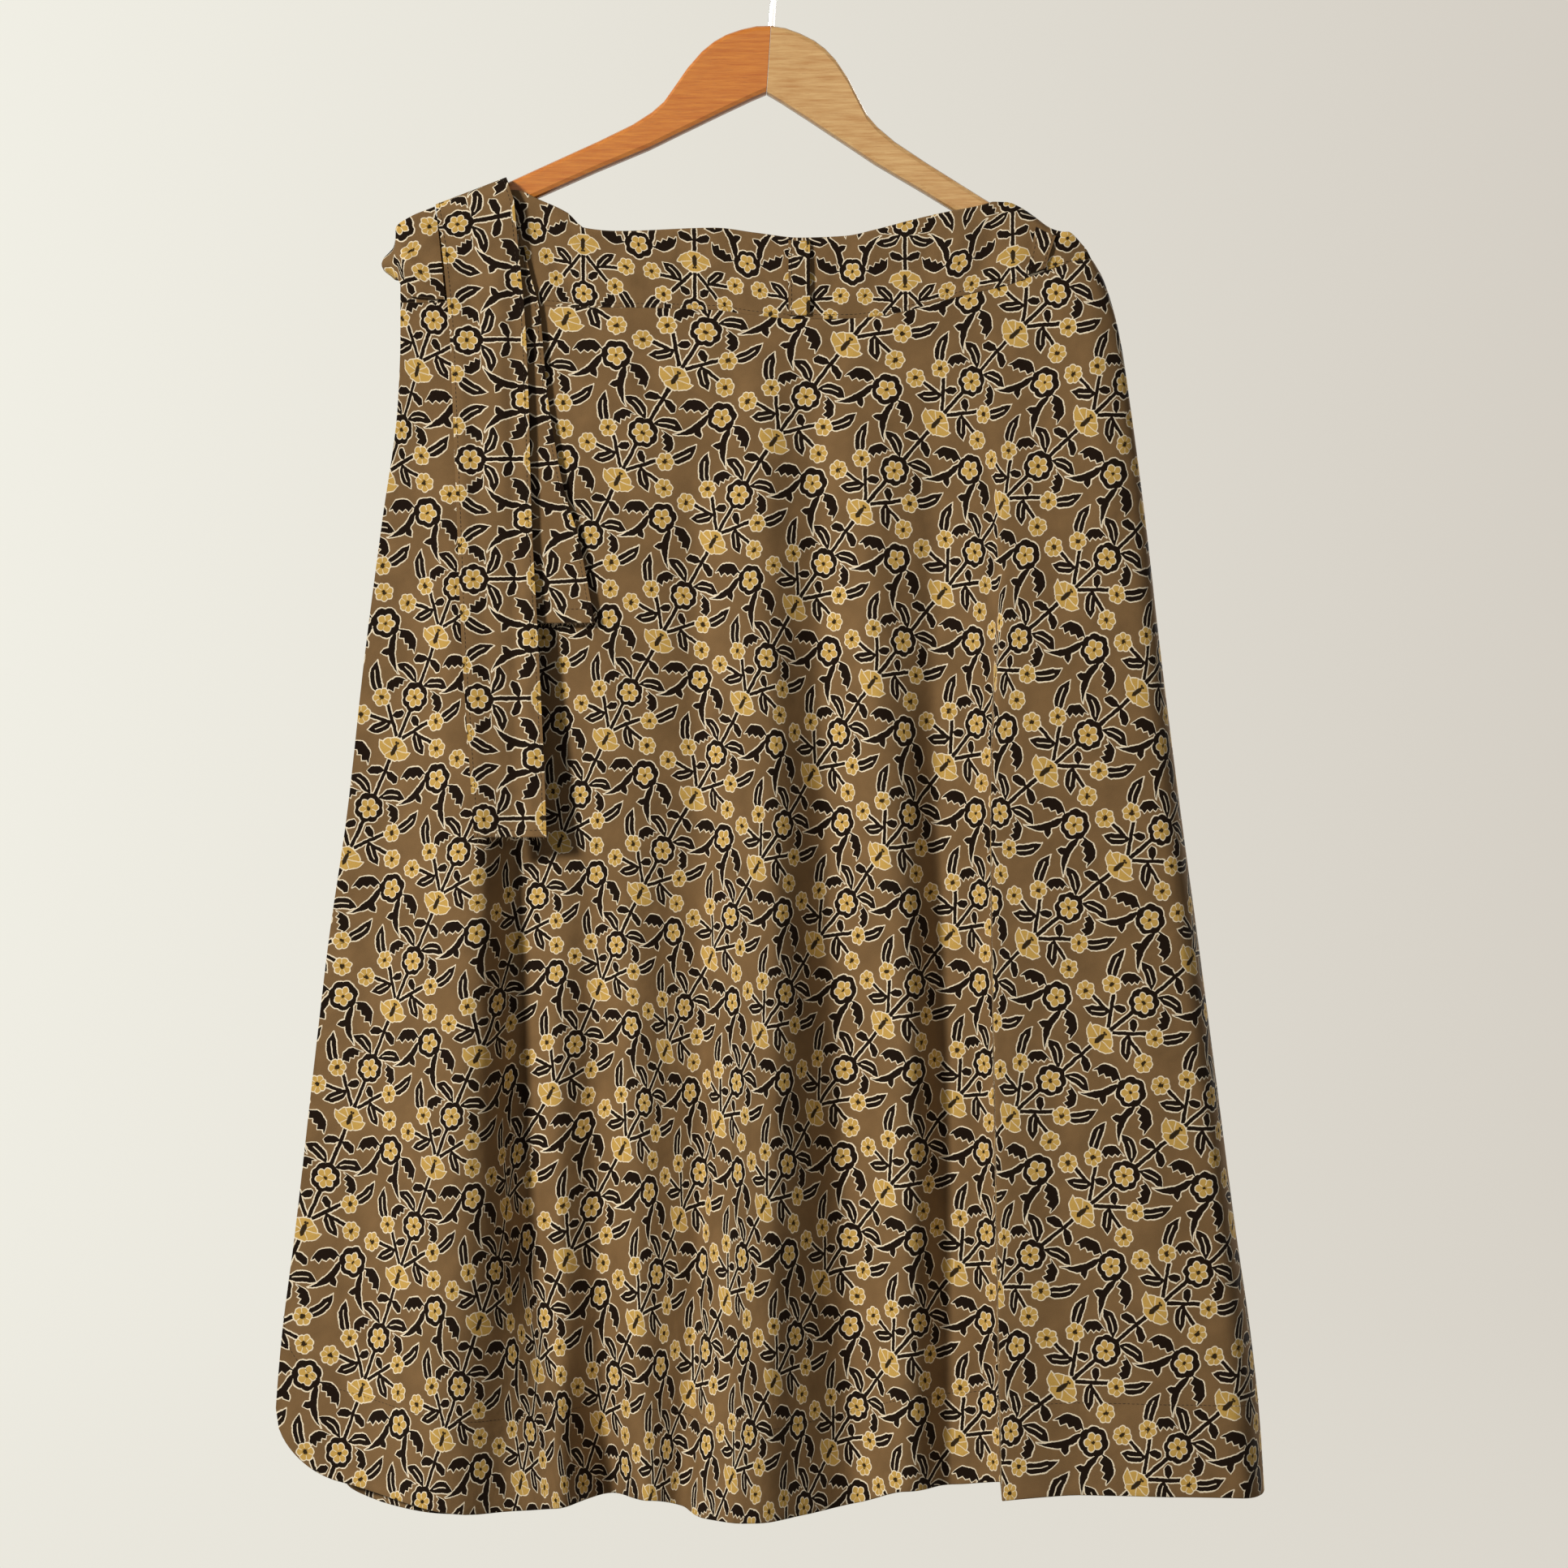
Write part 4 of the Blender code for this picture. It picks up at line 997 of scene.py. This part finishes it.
bandGrids = []
gap = skirt["seamGap"] / 2
bandCotton = cottonMaterial("bandCotton", waistband["printTurn"], waistband["printAt"],
                            blockPrint["lotusPlace"])
frontBand = addBand("waistbandFront",
                    bandStations(waistband, skirt["frontBandY"], leftEdge, level(187), None, -8.0),
                    waistSeam, bandCotton, waistband["wall"], marks=waistband["marks"],
                    creases=waistband["creases"])
underlapBand = addBand("waistbandUnderlap",
                       bandStations(waistband, skirt["underlapBandY"], leftFold,
                                    level(underlapPanel["freeEdge"][0][0]), -gap),
                       waistSeam, bandCotton, waistband["wall"],
                       waistband["underlapLower"], False, True, sides=(fromLeft, None))
backBand = addBand("waistbandBack",
                   bandStations(waistband, skirt["backBandY"], leftFold, rightEdge, gap, gap),
                   backSeam, bandCotton, -waistband["wall"], 0.0, True, True, True,
                   sides=(-fromLeft, -fromRight))


# the ties: each rung: left x, left drop, right x, right drop

longTie = {
    "printTurn": 45,
    "printAt": (8.9, -413.3),
    "wall": 1.5,
    "out": 8.2,
    "lifts": 3.0,
    "across": 18,
    "down": 110,
    "flatness": 0.75,
    "rungs": [
        (-205, 195, -159, 183), (-203, 208, -157, 206), (-198, 261, -152, 261),
        (-196, 305, -150, 305), (-193, 375, -148, 375), (-190, 444, -144, 444),
        (-183, 539, -139, 539), (-181, 567, -138, 567),
    ],
    "crest": (-207, 183.5, -164.5, 167),
    "behindLength": 62.0,
    "behindY": 11.2,
    "squareness": 0.67,
    "archRows": 8,
    "behindRows": 12,
    "archDrop": 0.8,
    "creases": (
        (-186, 196, -180, 420, 4.5, 1.5), (-170, 210, -166, 380, 5, -1.1),
        (-204, 206, -166, 252, 4, 1.2), (-200, 190, -172, 212, 3.5, -1.0),
        (-196, 236, -160, 282, 5, 0.9),
        (-200, 240, -192, 470, 3, 0.9), (-160, 190, -156, 560, 3.5, 1.3),
        (-178, 400, -168, 640, 5, 1.4), (-152, 380, -146, 640, 4, -1.0),
    ),
}

shortTie = {
    "printTurn": 45,
    "printAt": (14.0, -418.0),
    "wall": 1.5,
    "out": 3.4,
    "lifts": 2.6,
    "across": 15,
    "down": 90,
    "flatness": 0.5,
    "rungs": [
        (-194, 206, -155, 203), (-191, 232, -149, 229), (-188, 252, -144, 248),
        (-185, 303, -139, 300), (-175, 361, -129, 357), (-167, 391, -120, 387),
        (-156, 438, -110, 438),
    ],
}


def surfaceY(x, drop):  # the front's outer face, on the band or on the panel
    if drop < waistSeam(x):
        return skirt["frontBandY"]
    place = (drop - tableDrops[0]) / (tableDrops[1] - tableDrops[0])
    i = int(place)
    ys = [np.interp(x, frontTable["x"][:, k], frontTable["y"][:, k]) for k in (i, i + 1)]
    return mix(ys[0], ys[1], place - i)


def lyingStrip(tie):
    across, down = tie["across"], tie["down"]
    ends = [smoothCurve(range(len(tie["rungs"])), column) for column in zip(*tie["rungs"])]
    rows = []
    for k in range(down + 1):
        left, leftDrop, right, rightDrop = (end(k * (len(tie["rungs"]) - 1) / down) for end in ends)
        s = np.linspace(0, 1, across + 1)
        x, drop = mix(left, right, s), mix(leftDrop, rightDrop, s)
        y = np.array([surfaceY(a, b) for a, b in zip(x, drop)])
        y = mix(y, y.min(), tie["flatness"]) - tie["out"] - tie["lifts"] * (k / down) ** 2
        rows.append(np.stack([x, y, -drop], axis=-1))
    return np.array(rows)


def longTieGrid(tie):  # up behind the corner, over it and down the front
    across, arch, behind = tie["across"], tie["archRows"], tie["behindRows"]
    frontPart = lyingStrip(tie)
    left, leftDrop, right, rightDrop = tie["crest"]
    s = np.linspace(0, 1, across + 1)
    crestX, crestDrop = mix(left, right, s), mix(leftDrop, rightDrop, s)
    half = (tie["behindY"] - frontPart[0, 0, 1]) / 2
    rows = []
    for k in range(behind + 1):
        low = tie["behindLength"] * (1 - k / behind)
        y = np.full(across + 1, tie["behindY"])
        rows.append(np.stack([crestX, y, -(crestDrop + half * tie["archDrop"] + low)], axis=-1))
    for k in range(1, 2 * arch):
        angle = math.pi * k / (2 * arch)
        rise = math.sin(angle) ** tie["squareness"]
        run = math.copysign(abs(math.cos(angle)) ** tie["squareness"], math.cos(angle))
        foot = rows[behind] if run > 0 else frontPart[0]
        y = np.full(across + 1, tie["behindY"] - half * (1 - run))
        rows.append(np.stack([mix(foot[:, 0], crestX, rise), y,
                              mix(foot[:, 2], -crestDrop, rise)], axis=-1))
    return np.concatenate([np.array(rows), frontPart])


def stripCut(grid, front=0):  # a straight strip: across it, and down from its front row
    steps = np.linalg.norm(np.diff(grid, axis=0), axis=2).mean(axis=1)
    down = -np.concatenate([[0], np.cumsum(steps)])
    down += grid[front, :, 2].mean() - down[front]
    width = np.linalg.norm(grid[:, -1] - grid[:, 0], axis=1).mean()
    across = np.linspace(0, width, grid.shape[1])
    return np.stack(np.broadcast_arrays(across[None, :], down[:, None]), axis=-1)


tieGrid = creased(longTieGrid(longTie), longTie["creases"], 1)
tieCut = stripCut(tieGrid, len(tieGrid) - longTie["down"] - 1)
longTiePiece = addShell("longTie", tieGrid, longTie["wall"], tieCut,
                        cottonMaterial("tieCotton", longTie["printTurn"], longTie["printAt"]))
shortGrid = lyingStrip(shortTie)
shortTiePiece = addShell("shortTie", shortGrid, shortTie["wall"], stripCut(shortGrid),
                         cottonMaterial("shortTieCotton", shortTie["printTurn"], shortTie["printAt"]))

tieFold = {
    "printTurn": 75,
    "printAt": (5.0, -212.0),
    "wall": 1.5,
    "tip": {203: -230.5, 209: -232.0, 214: -236.5, 218: -240.0, 222: -238.5, 227: -231.0},
    "frontEdge": {186: -207.4, 195: -205.8, 208: -204.4, 242: -201.0},
    "creases": ((-234, 199, -206, 226, 2.6, 2.0), (-234, 212, -203, 236, 2.2, -1.4),
                (-226, 194, -206, 208, 2.4, -1.3), (-226, 224, -204, 240, 2.2, 1.6),
                (-238, 216, -216, 222, 1.6, 1.2), (-252, 221, -186, 247, 4.5, 1.9)),
    "tops": (194, 200, 208, 199, 193, 186.5),
    "bottoms": (225, 226, 227, 227.5, 239, 241.5),
    "y": (11.2, 10.2, 0.0, -11.0, -13.6, -13.6),
    "rows": 18,
    "finer": 2,
    "steps": 5,
}


def addTieFold(fold):
    xs = (level(-210), level(-225), curveOf(fold["tip"]), level(-230), level(-223),
          curveOf(fold["frontEdge"]))
    stations = [{"x": x, "y": level(y), "hem": 0, "steps": fold["steps"]}
                for x, y in zip(xs, fold["y"])]
    table = clothTable(stations, fold["finer"])
    places = np.linspace(0, len(xs) - 1, len(table["x"]))
    order = range(len(xs))
    tops = smoothCurve(order, fold["tops"])(places)
    bottoms = smoothCurve(order, fold["bottoms"])(places)
    grid = clothGrid(table, tops, bottoms, even(fold["rows"]))
    outer = creased(grid - inwardNormals(grid) * fold["wall"], fold["creases"], 1)
    return addShell("tieFold", outer, fold["wall"], cutOf(outer, -220.0),
                    cottonMaterial("tieFoldCotton", fold["printTurn"], fold["printAt"]))


tieFoldPiece = addTieFold(tieFold)

beltLoops = {  # x at the top's left and right, at the foot's, and the shares of the band it spans
    "centreLoop": (7, 20, 7, 20, 0.04, 0.96),
    "sideLoop": (157, 169, 152, 163, 0.22, 0.96),
}
loopCloth = {
    "wall": 1.5,
    "bow": 1.2,
    "over": 1.7,
    "across": 8,
    "down": 28,
    "printTurn": 135,
    "printSpread": 1.7,
    "printDrop": -208.0,
}


def addLoop(name, sizes, cloth):
    across, down = cloth["across"], cloth["down"]
    topLeft, topRight, footLeft, footRight, top, foot = sizes
    rows = []
    for k in range(down + 1):
        share = mix(top, foot, k / down)
        x = np.linspace(mix(topLeft, footLeft, k / down), mix(topRight, footRight, k / down),
                        across + 1)
        bow = cloth["bow"] * math.sin(math.pi * k / down)
        drop = mix(waistTop(x), waistSeam(x), share)
        y = np.full(across + 1, skirt["frontBandY"] - skirt["seamGap"] - cloth["over"] - bow)
        rows.append(np.stack([x, y, -drop], axis=-1))
    grid = np.array(rows)
    loopGrids.append(grid)
    return addShell(name, grid, cloth["wall"], stripCut(grid),
                    cottonMaterial(name + "Cotton", cloth["printTurn"],
                                   (topLeft * cloth["printSpread"], cloth["printDrop"])))


loopGrids = []
loops = [addLoop(name, sizes, loopCloth) for name, sizes in beltLoops.items()]
print("band, ties and loops sewn")


# sewing thread: short stitches set out along each seam

stitching = {
    "pitch": 2.7,
    "length": 2.0,
    "thickness": 0.34,
    "lift": 0.12,
    "seed": 11,
    "fromHem": 54.0,
    "bandRow": 0.965,  # shares down the band, and across the ties and loops
    "tieEdges": (0.05, 0.955),
    "loopEdges": (0.14, 0.86),
    "stretch": (0.004, 0.996),
}


def stitchTree(thread):
    tree = bpy.data.node_groups.new("stitchRow", "GeometryNodeTree")
    face = tree.interface
    face.new_socket("Geometry", in_out="OUTPUT", socket_type="NodeSocketGeometry")
    face.new_socket("Geometry", in_out="INPUT", socket_type="NodeSocketGeometry")
    sockets = {}
    for title in ("Pitch", "Length", "Thickness"):
        socket = face.new_socket(title, in_out="INPUT", socket_type="NodeSocketFloat")
        sockets[title] = socket.identifier
    seed = face.new_socket("Seed", in_out="INPUT", socket_type="NodeSocketInt")
    sockets["Seed"] = seed.identifier
    add, link = tree.nodes.new, tree.links.new
    start, end = add("NodeGroupInput"), add("NodeGroupOutput")
    seam, spaced = add("GeometryNodeMeshToCurve"), add("GeometryNodeResampleCurve")
    spaced.mode = "LENGTH"
    link(start.outputs["Geometry"], seam.inputs["Mesh"])
    link(seam.outputs["Curve"], spaced.inputs["Curve"])
    link(start.outputs["Pitch"], spaced.inputs["Length"])
    bead = add("GeometryNodeMeshUVSphere")
    bead.inputs["Segments"].default_value = 6
    bead.inputs["Rings"].default_value = 4
    bead.inputs["Radius"].default_value = 0.5
    tangent, turned = add("GeometryNodeInputTangent"), add("FunctionNodeAlignRotationToVector")
    turned.axis = "X"
    link(tangent.outputs[0], turned.inputs["Vector"])
    uneven = add("FunctionNodeRandomValue")
    uneven.data_type = "FLOAT_VECTOR"
    uneven.inputs[0].default_value = (0.8, 0.9, 0.9)
    uneven.inputs[1].default_value = (1.12, 1.1, 1.1)
    link(start.outputs["Seed"], uneven.inputs["Seed"])
    size, scale = add("ShaderNodeCombineXYZ"), add("ShaderNodeVectorMath")
    scale.operation = "MULTIPLY"
    link(start.outputs["Length"], size.inputs[0])
    link(start.outputs["Thickness"], size.inputs[1])
    link(start.outputs["Thickness"], size.inputs[2])
    link(size.outputs[0], scale.inputs[0])
    link(uneven.outputs[0], scale.inputs[1])
    placed, whole, painted = (add("GeometryNodeInstanceOnPoints"),
                              add("GeometryNodeRealizeInstances"), add("GeometryNodeSetMaterial"))
    link(spaced.outputs["Curve"], placed.inputs["Points"])
    link(bead.outputs["Mesh"], placed.inputs["Instance"])
    link(turned.outputs[0], placed.inputs["Rotation"])
    link(scale.outputs[0], placed.inputs["Scale"])
    link(placed.outputs[0], whole.inputs[0])
    painted.inputs["Material"].default_value = thread
    link(whole.outputs[0], painted.inputs["Geometry"])
    link(painted.outputs[0], end.inputs[0])
    return tree, sockets


def seamPath(grid, rows, columns, flip=1):  # a line over a grid, at shares down and across
    normals = inwardNormals(grid) * flip
    r = np.clip(np.asarray(rows, float) * (len(grid) - 1), 0, len(grid) - 1.001)
    c = np.clip(np.asarray(columns, float) * (grid.shape[1] - 1), 0, grid.shape[1] - 1.001)
    r, c = np.broadcast_arrays(r, c)
    i, j = r.astype(int), c.astype(int)
    s, t = (r - i)[:, None], (c - j)[:, None]
    lifted = grid - normals * stitching["lift"]
    upper = mix(lifted[i, j], lifted[i, j + 1], t)
    return mix(upper, mix(lifted[i + 1, j], lifted[i + 1, j + 1], t), s)


def addStitches(name, paths, thread):
    tree, sockets = thread
    points, edges = [], []
    for path in paths:
        first = len(points)
        points += (path * mm).tolist()
        edges += [(first + k, first + k + 1) for k in range(len(path) - 1)]
    mesh = bpy.data.meshes.new(name)
    mesh.from_pydata(points, edges, [])
    row = placePiece(name, mesh)
    maker = row.modifiers.new("stitchRow", "NODES")
    maker.node_group = tree
    for title, key in (("Pitch", "pitch"), ("Length", "length"), ("Thickness", "thickness")):
        maker[sockets[title]] = stitching[key] * mm
    maker[sockets["Seed"]] = stitching["seed"]
    made = row.evaluated_get(bpy.context.evaluated_depsgraph_get())
    row.data = bpy.data.meshes.new_from_object(made)
    row.modifiers.clear()
    row.data.shade_smooth()
    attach(row, "root")
    return row


def threadMaterial(name, colour):
    material, tree, shader = newMaterial(name, 0.7, 0.2)
    twist = noiseOf(tree, objectPlace(tree), 900.0, 2.0)
    shade = mixColours(tree, twist, colour, tinted(colour, 1.7))
    tree.links.new(shade, shader.inputs["Base Color"])
    return material


along, down = (np.linspace(*stitching["stretch"], count) for count in (300, 200))
darkThread = stitchTree(threadMaterial("darkThread", (0.035, 0.022, 0.012, 1)))


def hemPath(grid, flip=1):
    share = 1 - stitching["fromHem"] / (grid[0, :, 2] - grid[-1, :, 2])
    return seamPath(grid, share, np.linspace(0, 1, grid.shape[1]), flip)


def bandPath(grid, flip=1):
    return seamPath(grid, stitching["bandRow"], along, flip)


def tiePaths(grid, endRow):
    sides = [seamPath(grid, down, edge) for edge in stitching["tieEdges"]]
    return sides + [seamPath(grid, endRow, along[::4])]


frontStitches = addStitches("overlapStitches", [hemPath(frontGrid)], darkThread)
backStitches = addStitches("backStitches", [hemPath(backGrid, -1)], darkThread)
bandStitches = addStitches("bandStitches", [bandPath(bandGrids[0])], darkThread)
backBandStitches = addStitches("backBandStitches", [bandPath(bandGrids[2], -1)], darkThread)
tieStitches = addStitches("longTieStitches", tiePaths(tieGrid, 0.985), darkThread)
shortStitches = addStitches("shortTieStitches", tiePaths(shortGrid, 0.975), darkThread)
loopStitches = [
    addStitches(name + "Stitches",
                [seamPath(grid, down[::4], edge) for edge in stitching["loopEdges"]], darkThread)
    for name, grid in zip(beltLoops, loopGrids)
]


# frayed threads at the cut ends of the ties

fraying = {
    "count": 58,
    "long": (1.6, 6.5),
    "thick": 0.17,
    "taper": 0.6,
    "spread": 0.28,
    "curl": (0.7, (-0.5, 0.1), 0.3),
    "curlShare": 0.4,
    "inset": (0.6, 0.7),  # how far a thread starts inside the tie, down and back
    "seed": 5,
}


def addFray(name, end, before, material):
    pick = np.random.default_rng(fraying["seed"])
    points, faces = [], []
    for _ in range(fraying["count"]):
        t = pick.uniform(0, len(end) - 1.001)
        i = int(t)
        root = mix(end[i], end[i + 1], t - i)
        way = unit(root - mix(before[i], before[i + 1], t - i))
        way = unit(way + pick.normal(0, fraying["spread"], 3) * (1, 0.5, 1))
        aside, forwards, upwards = fraying["curl"]
        curl = np.array([pick.normal(0, aside), pick.uniform(*forwards), pick.normal(0, upwards)])
        long = pick.uniform(*fraying["long"]) * pick.uniform(0.4, 1)
        base = len(points)
        for k in range(5):
            s = k / 4
            bent = curl * s * s * long * fraying["curlShare"]
            middle = root + way * (s * long - fraying["inset"][0]) + bent
            middle = middle + (0, fraying["inset"][1], 0)
            width = fraying["thick"] * (1 - fraying["taper"] * s)
            for angle in (0.0, 2.09, 4.19):  # a three-sided thread
                points.append(middle + width * np.array([math.cos(angle), math.sin(angle), 0]))
        for k in range(4):
            for j in range(3):
                a, b = base + 3 * k + j, base + 3 * k + (j + 1) % 3
                faces.append((a, b, b + 3, a + 3))
        faces += [(base + 2, base + 1, base), (base + 12, base + 13, base + 14)]
    mesh = bpy.data.meshes.new(name)
    mesh.from_pydata((np.array(points) * mm).tolist(), [], faces)
    faceOutwards(mesh)
    mesh.materials.append(material)
    fray = placePiece(name, mesh)
    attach(fray, "root")
    return fray


paleThread = threadMaterial("paleThread", (0.30, 0.22, 0.13, 1))
tieFray = addFray("longTieFray", tieGrid[-1], tieGrid[-3], paleThread)
shortFray = addFray("shortTieFray", shortGrid[-1], shortGrid[-3], paleThread)
print("seams stitched")


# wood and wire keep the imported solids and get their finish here

woods = {  # colours: heart, pale, streak; turn of the grain in degrees
    "redWood": {"heart": (0.50, 0.13, 0.015, 1), "pale": (0.72, 0.26, 0.04, 1),
                "streak": (0.22, 0.05, 0.008, 1), "turn": -30.0},
    "tanWood": {"heart": (0.50, 0.23, 0.065, 1), "pale": (0.78, 0.50, 0.21, 1),
                "streak": (0.33, 0.13, 0.03, 1), "turn": 34.0},
}
varnish = {"coat": 0.18, "coatRoughness": 0.2, "grainStretch": (1, 10, 14),
           "poreBump": (0.25, 0.0002)}


def woodMaterial(name, wood):
    material, tree, shader = newMaterial(name)
    mapping = tree.nodes.new("ShaderNodeMapping")
    mapping.inputs["Rotation"].default_value = (0, math.radians(wood["turn"]), 0)
    mapping.inputs["Scale"].default_value = varnish["grainStretch"]
    tree.links.new(objectPlace(tree), mapping.inputs["Vector"])
    fibre = noiseOf(tree, mapping.outputs[0], 34.0, 5.0, 0.62)
    fine = noiseOf(tree, mapping.outputs[0], 160.0, 3.0, 0.6)
    calc = calculator(tree)
    share = calc("MULTIPLY_ADD", calc("SUBTRACT", fibre, 0.5), 2.4, 0.5, clamp=True)
    colour = mixColours(tree, share, wood["heart"], wood["pale"])
    streak = calc("MULTIPLY_ADD", fine, 3.0, -1.6, clamp=True)
    colour = mixColours(tree, calc("MULTIPLY", streak, 0.5), colour, wood["streak"])
    tree.links.new(colour, shader.inputs["Base Color"])
    tree.links.new(calc("MULTIPLY_ADD", fine, 0.25, 0.22), shader.inputs["Roughness"])
    tree.links.new(bumpOf(tree, fine, *varnish["poreBump"]), shader.inputs["Normal"])
    shader.inputs["Coat Weight"].default_value = varnish["coat"]
    shader.inputs["Coat Roughness"].default_value = varnish["coatRoughness"]
    return material


redWood, tanWood = (woodMaterial(name, wood) for name, wood in woods.items())


def wireMaterial():
    material, tree, shader = newMaterial("brightWire")
    calc = calculator(tree)
    rub = noiseOf(tree, objectPlace(tree), 420.0, 3.0, 0.6)
    tree.links.new(calc("MULTIPLY_ADD", rub, 0.22, 0.10), shader.inputs["Roughness"])
    colour = mixColours(tree, rub, (0.52, 0.52, 0.52, 1), (0.70, 0.70, 0.69, 1))
    tree.links.new(colour, shader.inputs["Base Color"])
    shader.inputs["Metallic"].default_value = 1.0
    return material


for name, material in (("hanger_arm_left", redWood), ("hanger_arm_right", tanWood),
                       ("hanger_hook", wireMaterial())):
    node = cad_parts[name]
    for slot in node.material_slots:
        slot.material = material
print("hanger finished")


# what each piece stands for, and its flat cut in metres: width, length, area

hangerArms = ("hanger_arm_left", "hanger_arm_right")
sewn = (
    (front, "front_panel", "printed_cotton", (0.755, 0.755), 0.425, (frontBand,), (frontStitches,)),
    (underlap, "underlap_panel", "printed_cotton", (0.405, 0.73), 0.247, (underlapBand,), ()),
    (back, "back_panel", "printed_cotton", (0.64, 0.725), 0.38, (backBand,), (backStitches,)),
    (frontBand, "waistband_front", "band_cotton", (0.45, 0.068), 0.0207, hangerArms,
     (bandStitches,)),
    (underlapBand, "waistband_underlap", "band_cotton", (0.295, 0.058), 0.0119, hangerArms, ()),
    (backBand, "waistband_back", "band_cotton", (0.45, 0.069), 0.0229, hangerArms,
     (backBandStitches,)),
    (longTiePiece, "tie_long", "band_cotton", (0.046, 0.495), None, (frontBand,),
     (tieStitches, tieFray)),
    (shortTiePiece, "tie_short", "band_cotton", (0.046, 0.24), None, (frontBand,),
     (shortStitches, shortFray)),
    (tieFoldPiece, "tie_fold", "band_cotton", (0.080, 0.048), 0.0028, (frontBand,), ()),
    (loops[0], "belt_loop_centre", "band_cotton", (0.013, 0.046), None, (frontBand,),
     (loopStitches[0],)),
    (loops[1], "belt_loop_side", "band_cotton", (0.013, 0.029), None, (frontBand,),
     (loopStitches[1],)),
)
for piece, node, slotName, flat, area, restsOn, onIt in sewn:
    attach(piece, "root")
    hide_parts(node)
    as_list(restsOn)
    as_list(onIt)


# studio: pale glowing bowl all round with painted light, lighter at the left and darker at the right,
# a key light from the upper left, a weak fill and one behind

studio = {
    "bowlRadius": 5.0,
    "floorRadius": 3.2,
    "floorDrop": 1.35,
    "paintedLightPaper": ((0.875, 0.86, 0.78, 1), (0.66, 0.62, 0.555, 1)),  # painted light at the left and painted shade at the right, as if the key fell on the paper
    "paintedLightWidth": 3.0,
    "air": ((1.0, 0.985, 0.96, 1), 0.12),
    "lights": {  # place, aim, size, power, colour
        "keyLight": ((-3.2, -3.2, 1.2), (0, 0, -0.5), 0.8, 226.0, (1.0, 0.985, 0.95)),
        "fillLight": ((2.4, -2.6, -0.2), (0, 0, -0.55), 2.0, 12.0, (1.0, 0.98, 0.95)),
        "backLight": ((2.2, 3.4, 0.9), (0, 0, -0.5), 1.4, 120.0, (1.0, 0.985, 0.96)),
    },
}


def addLight(name, place, aim, size, power, colour):
    data = bpy.data.lights.new(name, "AREA")
    data.shape = "DISK"
    data.size = size
    data.energy = power
    data.color = colour
    lamp = placePiece(name, data)
    lamp.visible_camera = False
    lamp.location = place
    lamp.rotation_euler = (Vector(aim) - Vector(place)).to_track_quat("-Z", "Y").to_euler()


def addBowl(setup):
    radius, flat, low = setup["bowlRadius"], setup["floorRadius"], -setup["floorDrop"]
    profile = [(0.0, low), (1.0, low), (2.2, low), (flat, low)]
    for k in range(1, 13):
        angle = math.pi / 2 * k / 12
        profile.append((flat + (radius - flat) * math.sin(angle),
                        low + (radius - flat) * (1 - math.cos(angle))))
    profile += [(radius, 3.0), (radius, 6.0)]
    turns = 64
    points, faces = [], []
    for r, z in profile:
        for k in range(turns):
            a = 2 * math.pi * k / turns
            points.append((r * math.cos(a), r * math.sin(a), z))
    for i in range(len(profile) - 1):
        for k in range(turns):
            a, b = i * turns + k, i * turns + (k + 1) % turns
            faces.append((a, b, b + turns, a + turns))
    mesh = bpy.data.meshes.new("studioBowl")
    mesh.from_pydata(points, [], faces)
    mesh.shade_smooth()
    material, tree, shader = newMaterial("studioPaper", 1.0, 0.0)
    split = tree.nodes.new("ShaderNodeSeparateXYZ")
    tree.links.new(objectPlace(tree), split.inputs[0])
    calc = calculator(tree)
    # painted light and shade: the glow goes from the lighter left colour to the darker right colour
    # across x
    across = calc("MULTIPLY_ADD", split.outputs[0], 1 / setup["paintedLightWidth"], 0.5, clamp=True)
    colour = mixColours(tree, across, *setup["paintedLightPaper"])
    shader.inputs["Base Color"].default_value = (0, 0, 0, 1)
    tree.links.new(colour, shader.inputs["Emission Color"])
    shader.inputs["Emission Strength"].default_value = 1.0
    mesh.materials.append(material)
    bowl = placePiece("studioBowl", mesh)
    bowl.visible_diffuse = False
    bowl.visible_glossy = True
    bowl.visible_shadow = False


addBowl(studio)
for name, light in studio["lights"].items():
    addLight(name, *light)
world = bpy.data.worlds.new("studioAir")
bpy.context.scene.world = world
world.use_nodes = True
air = world.node_tree.nodes["Background"]
air.inputs["Color"].default_value, air.inputs["Strength"].default_value = studio["air"]
bpy.context.scene.view_settings.view_transform = "Standard"
print("studio lit")
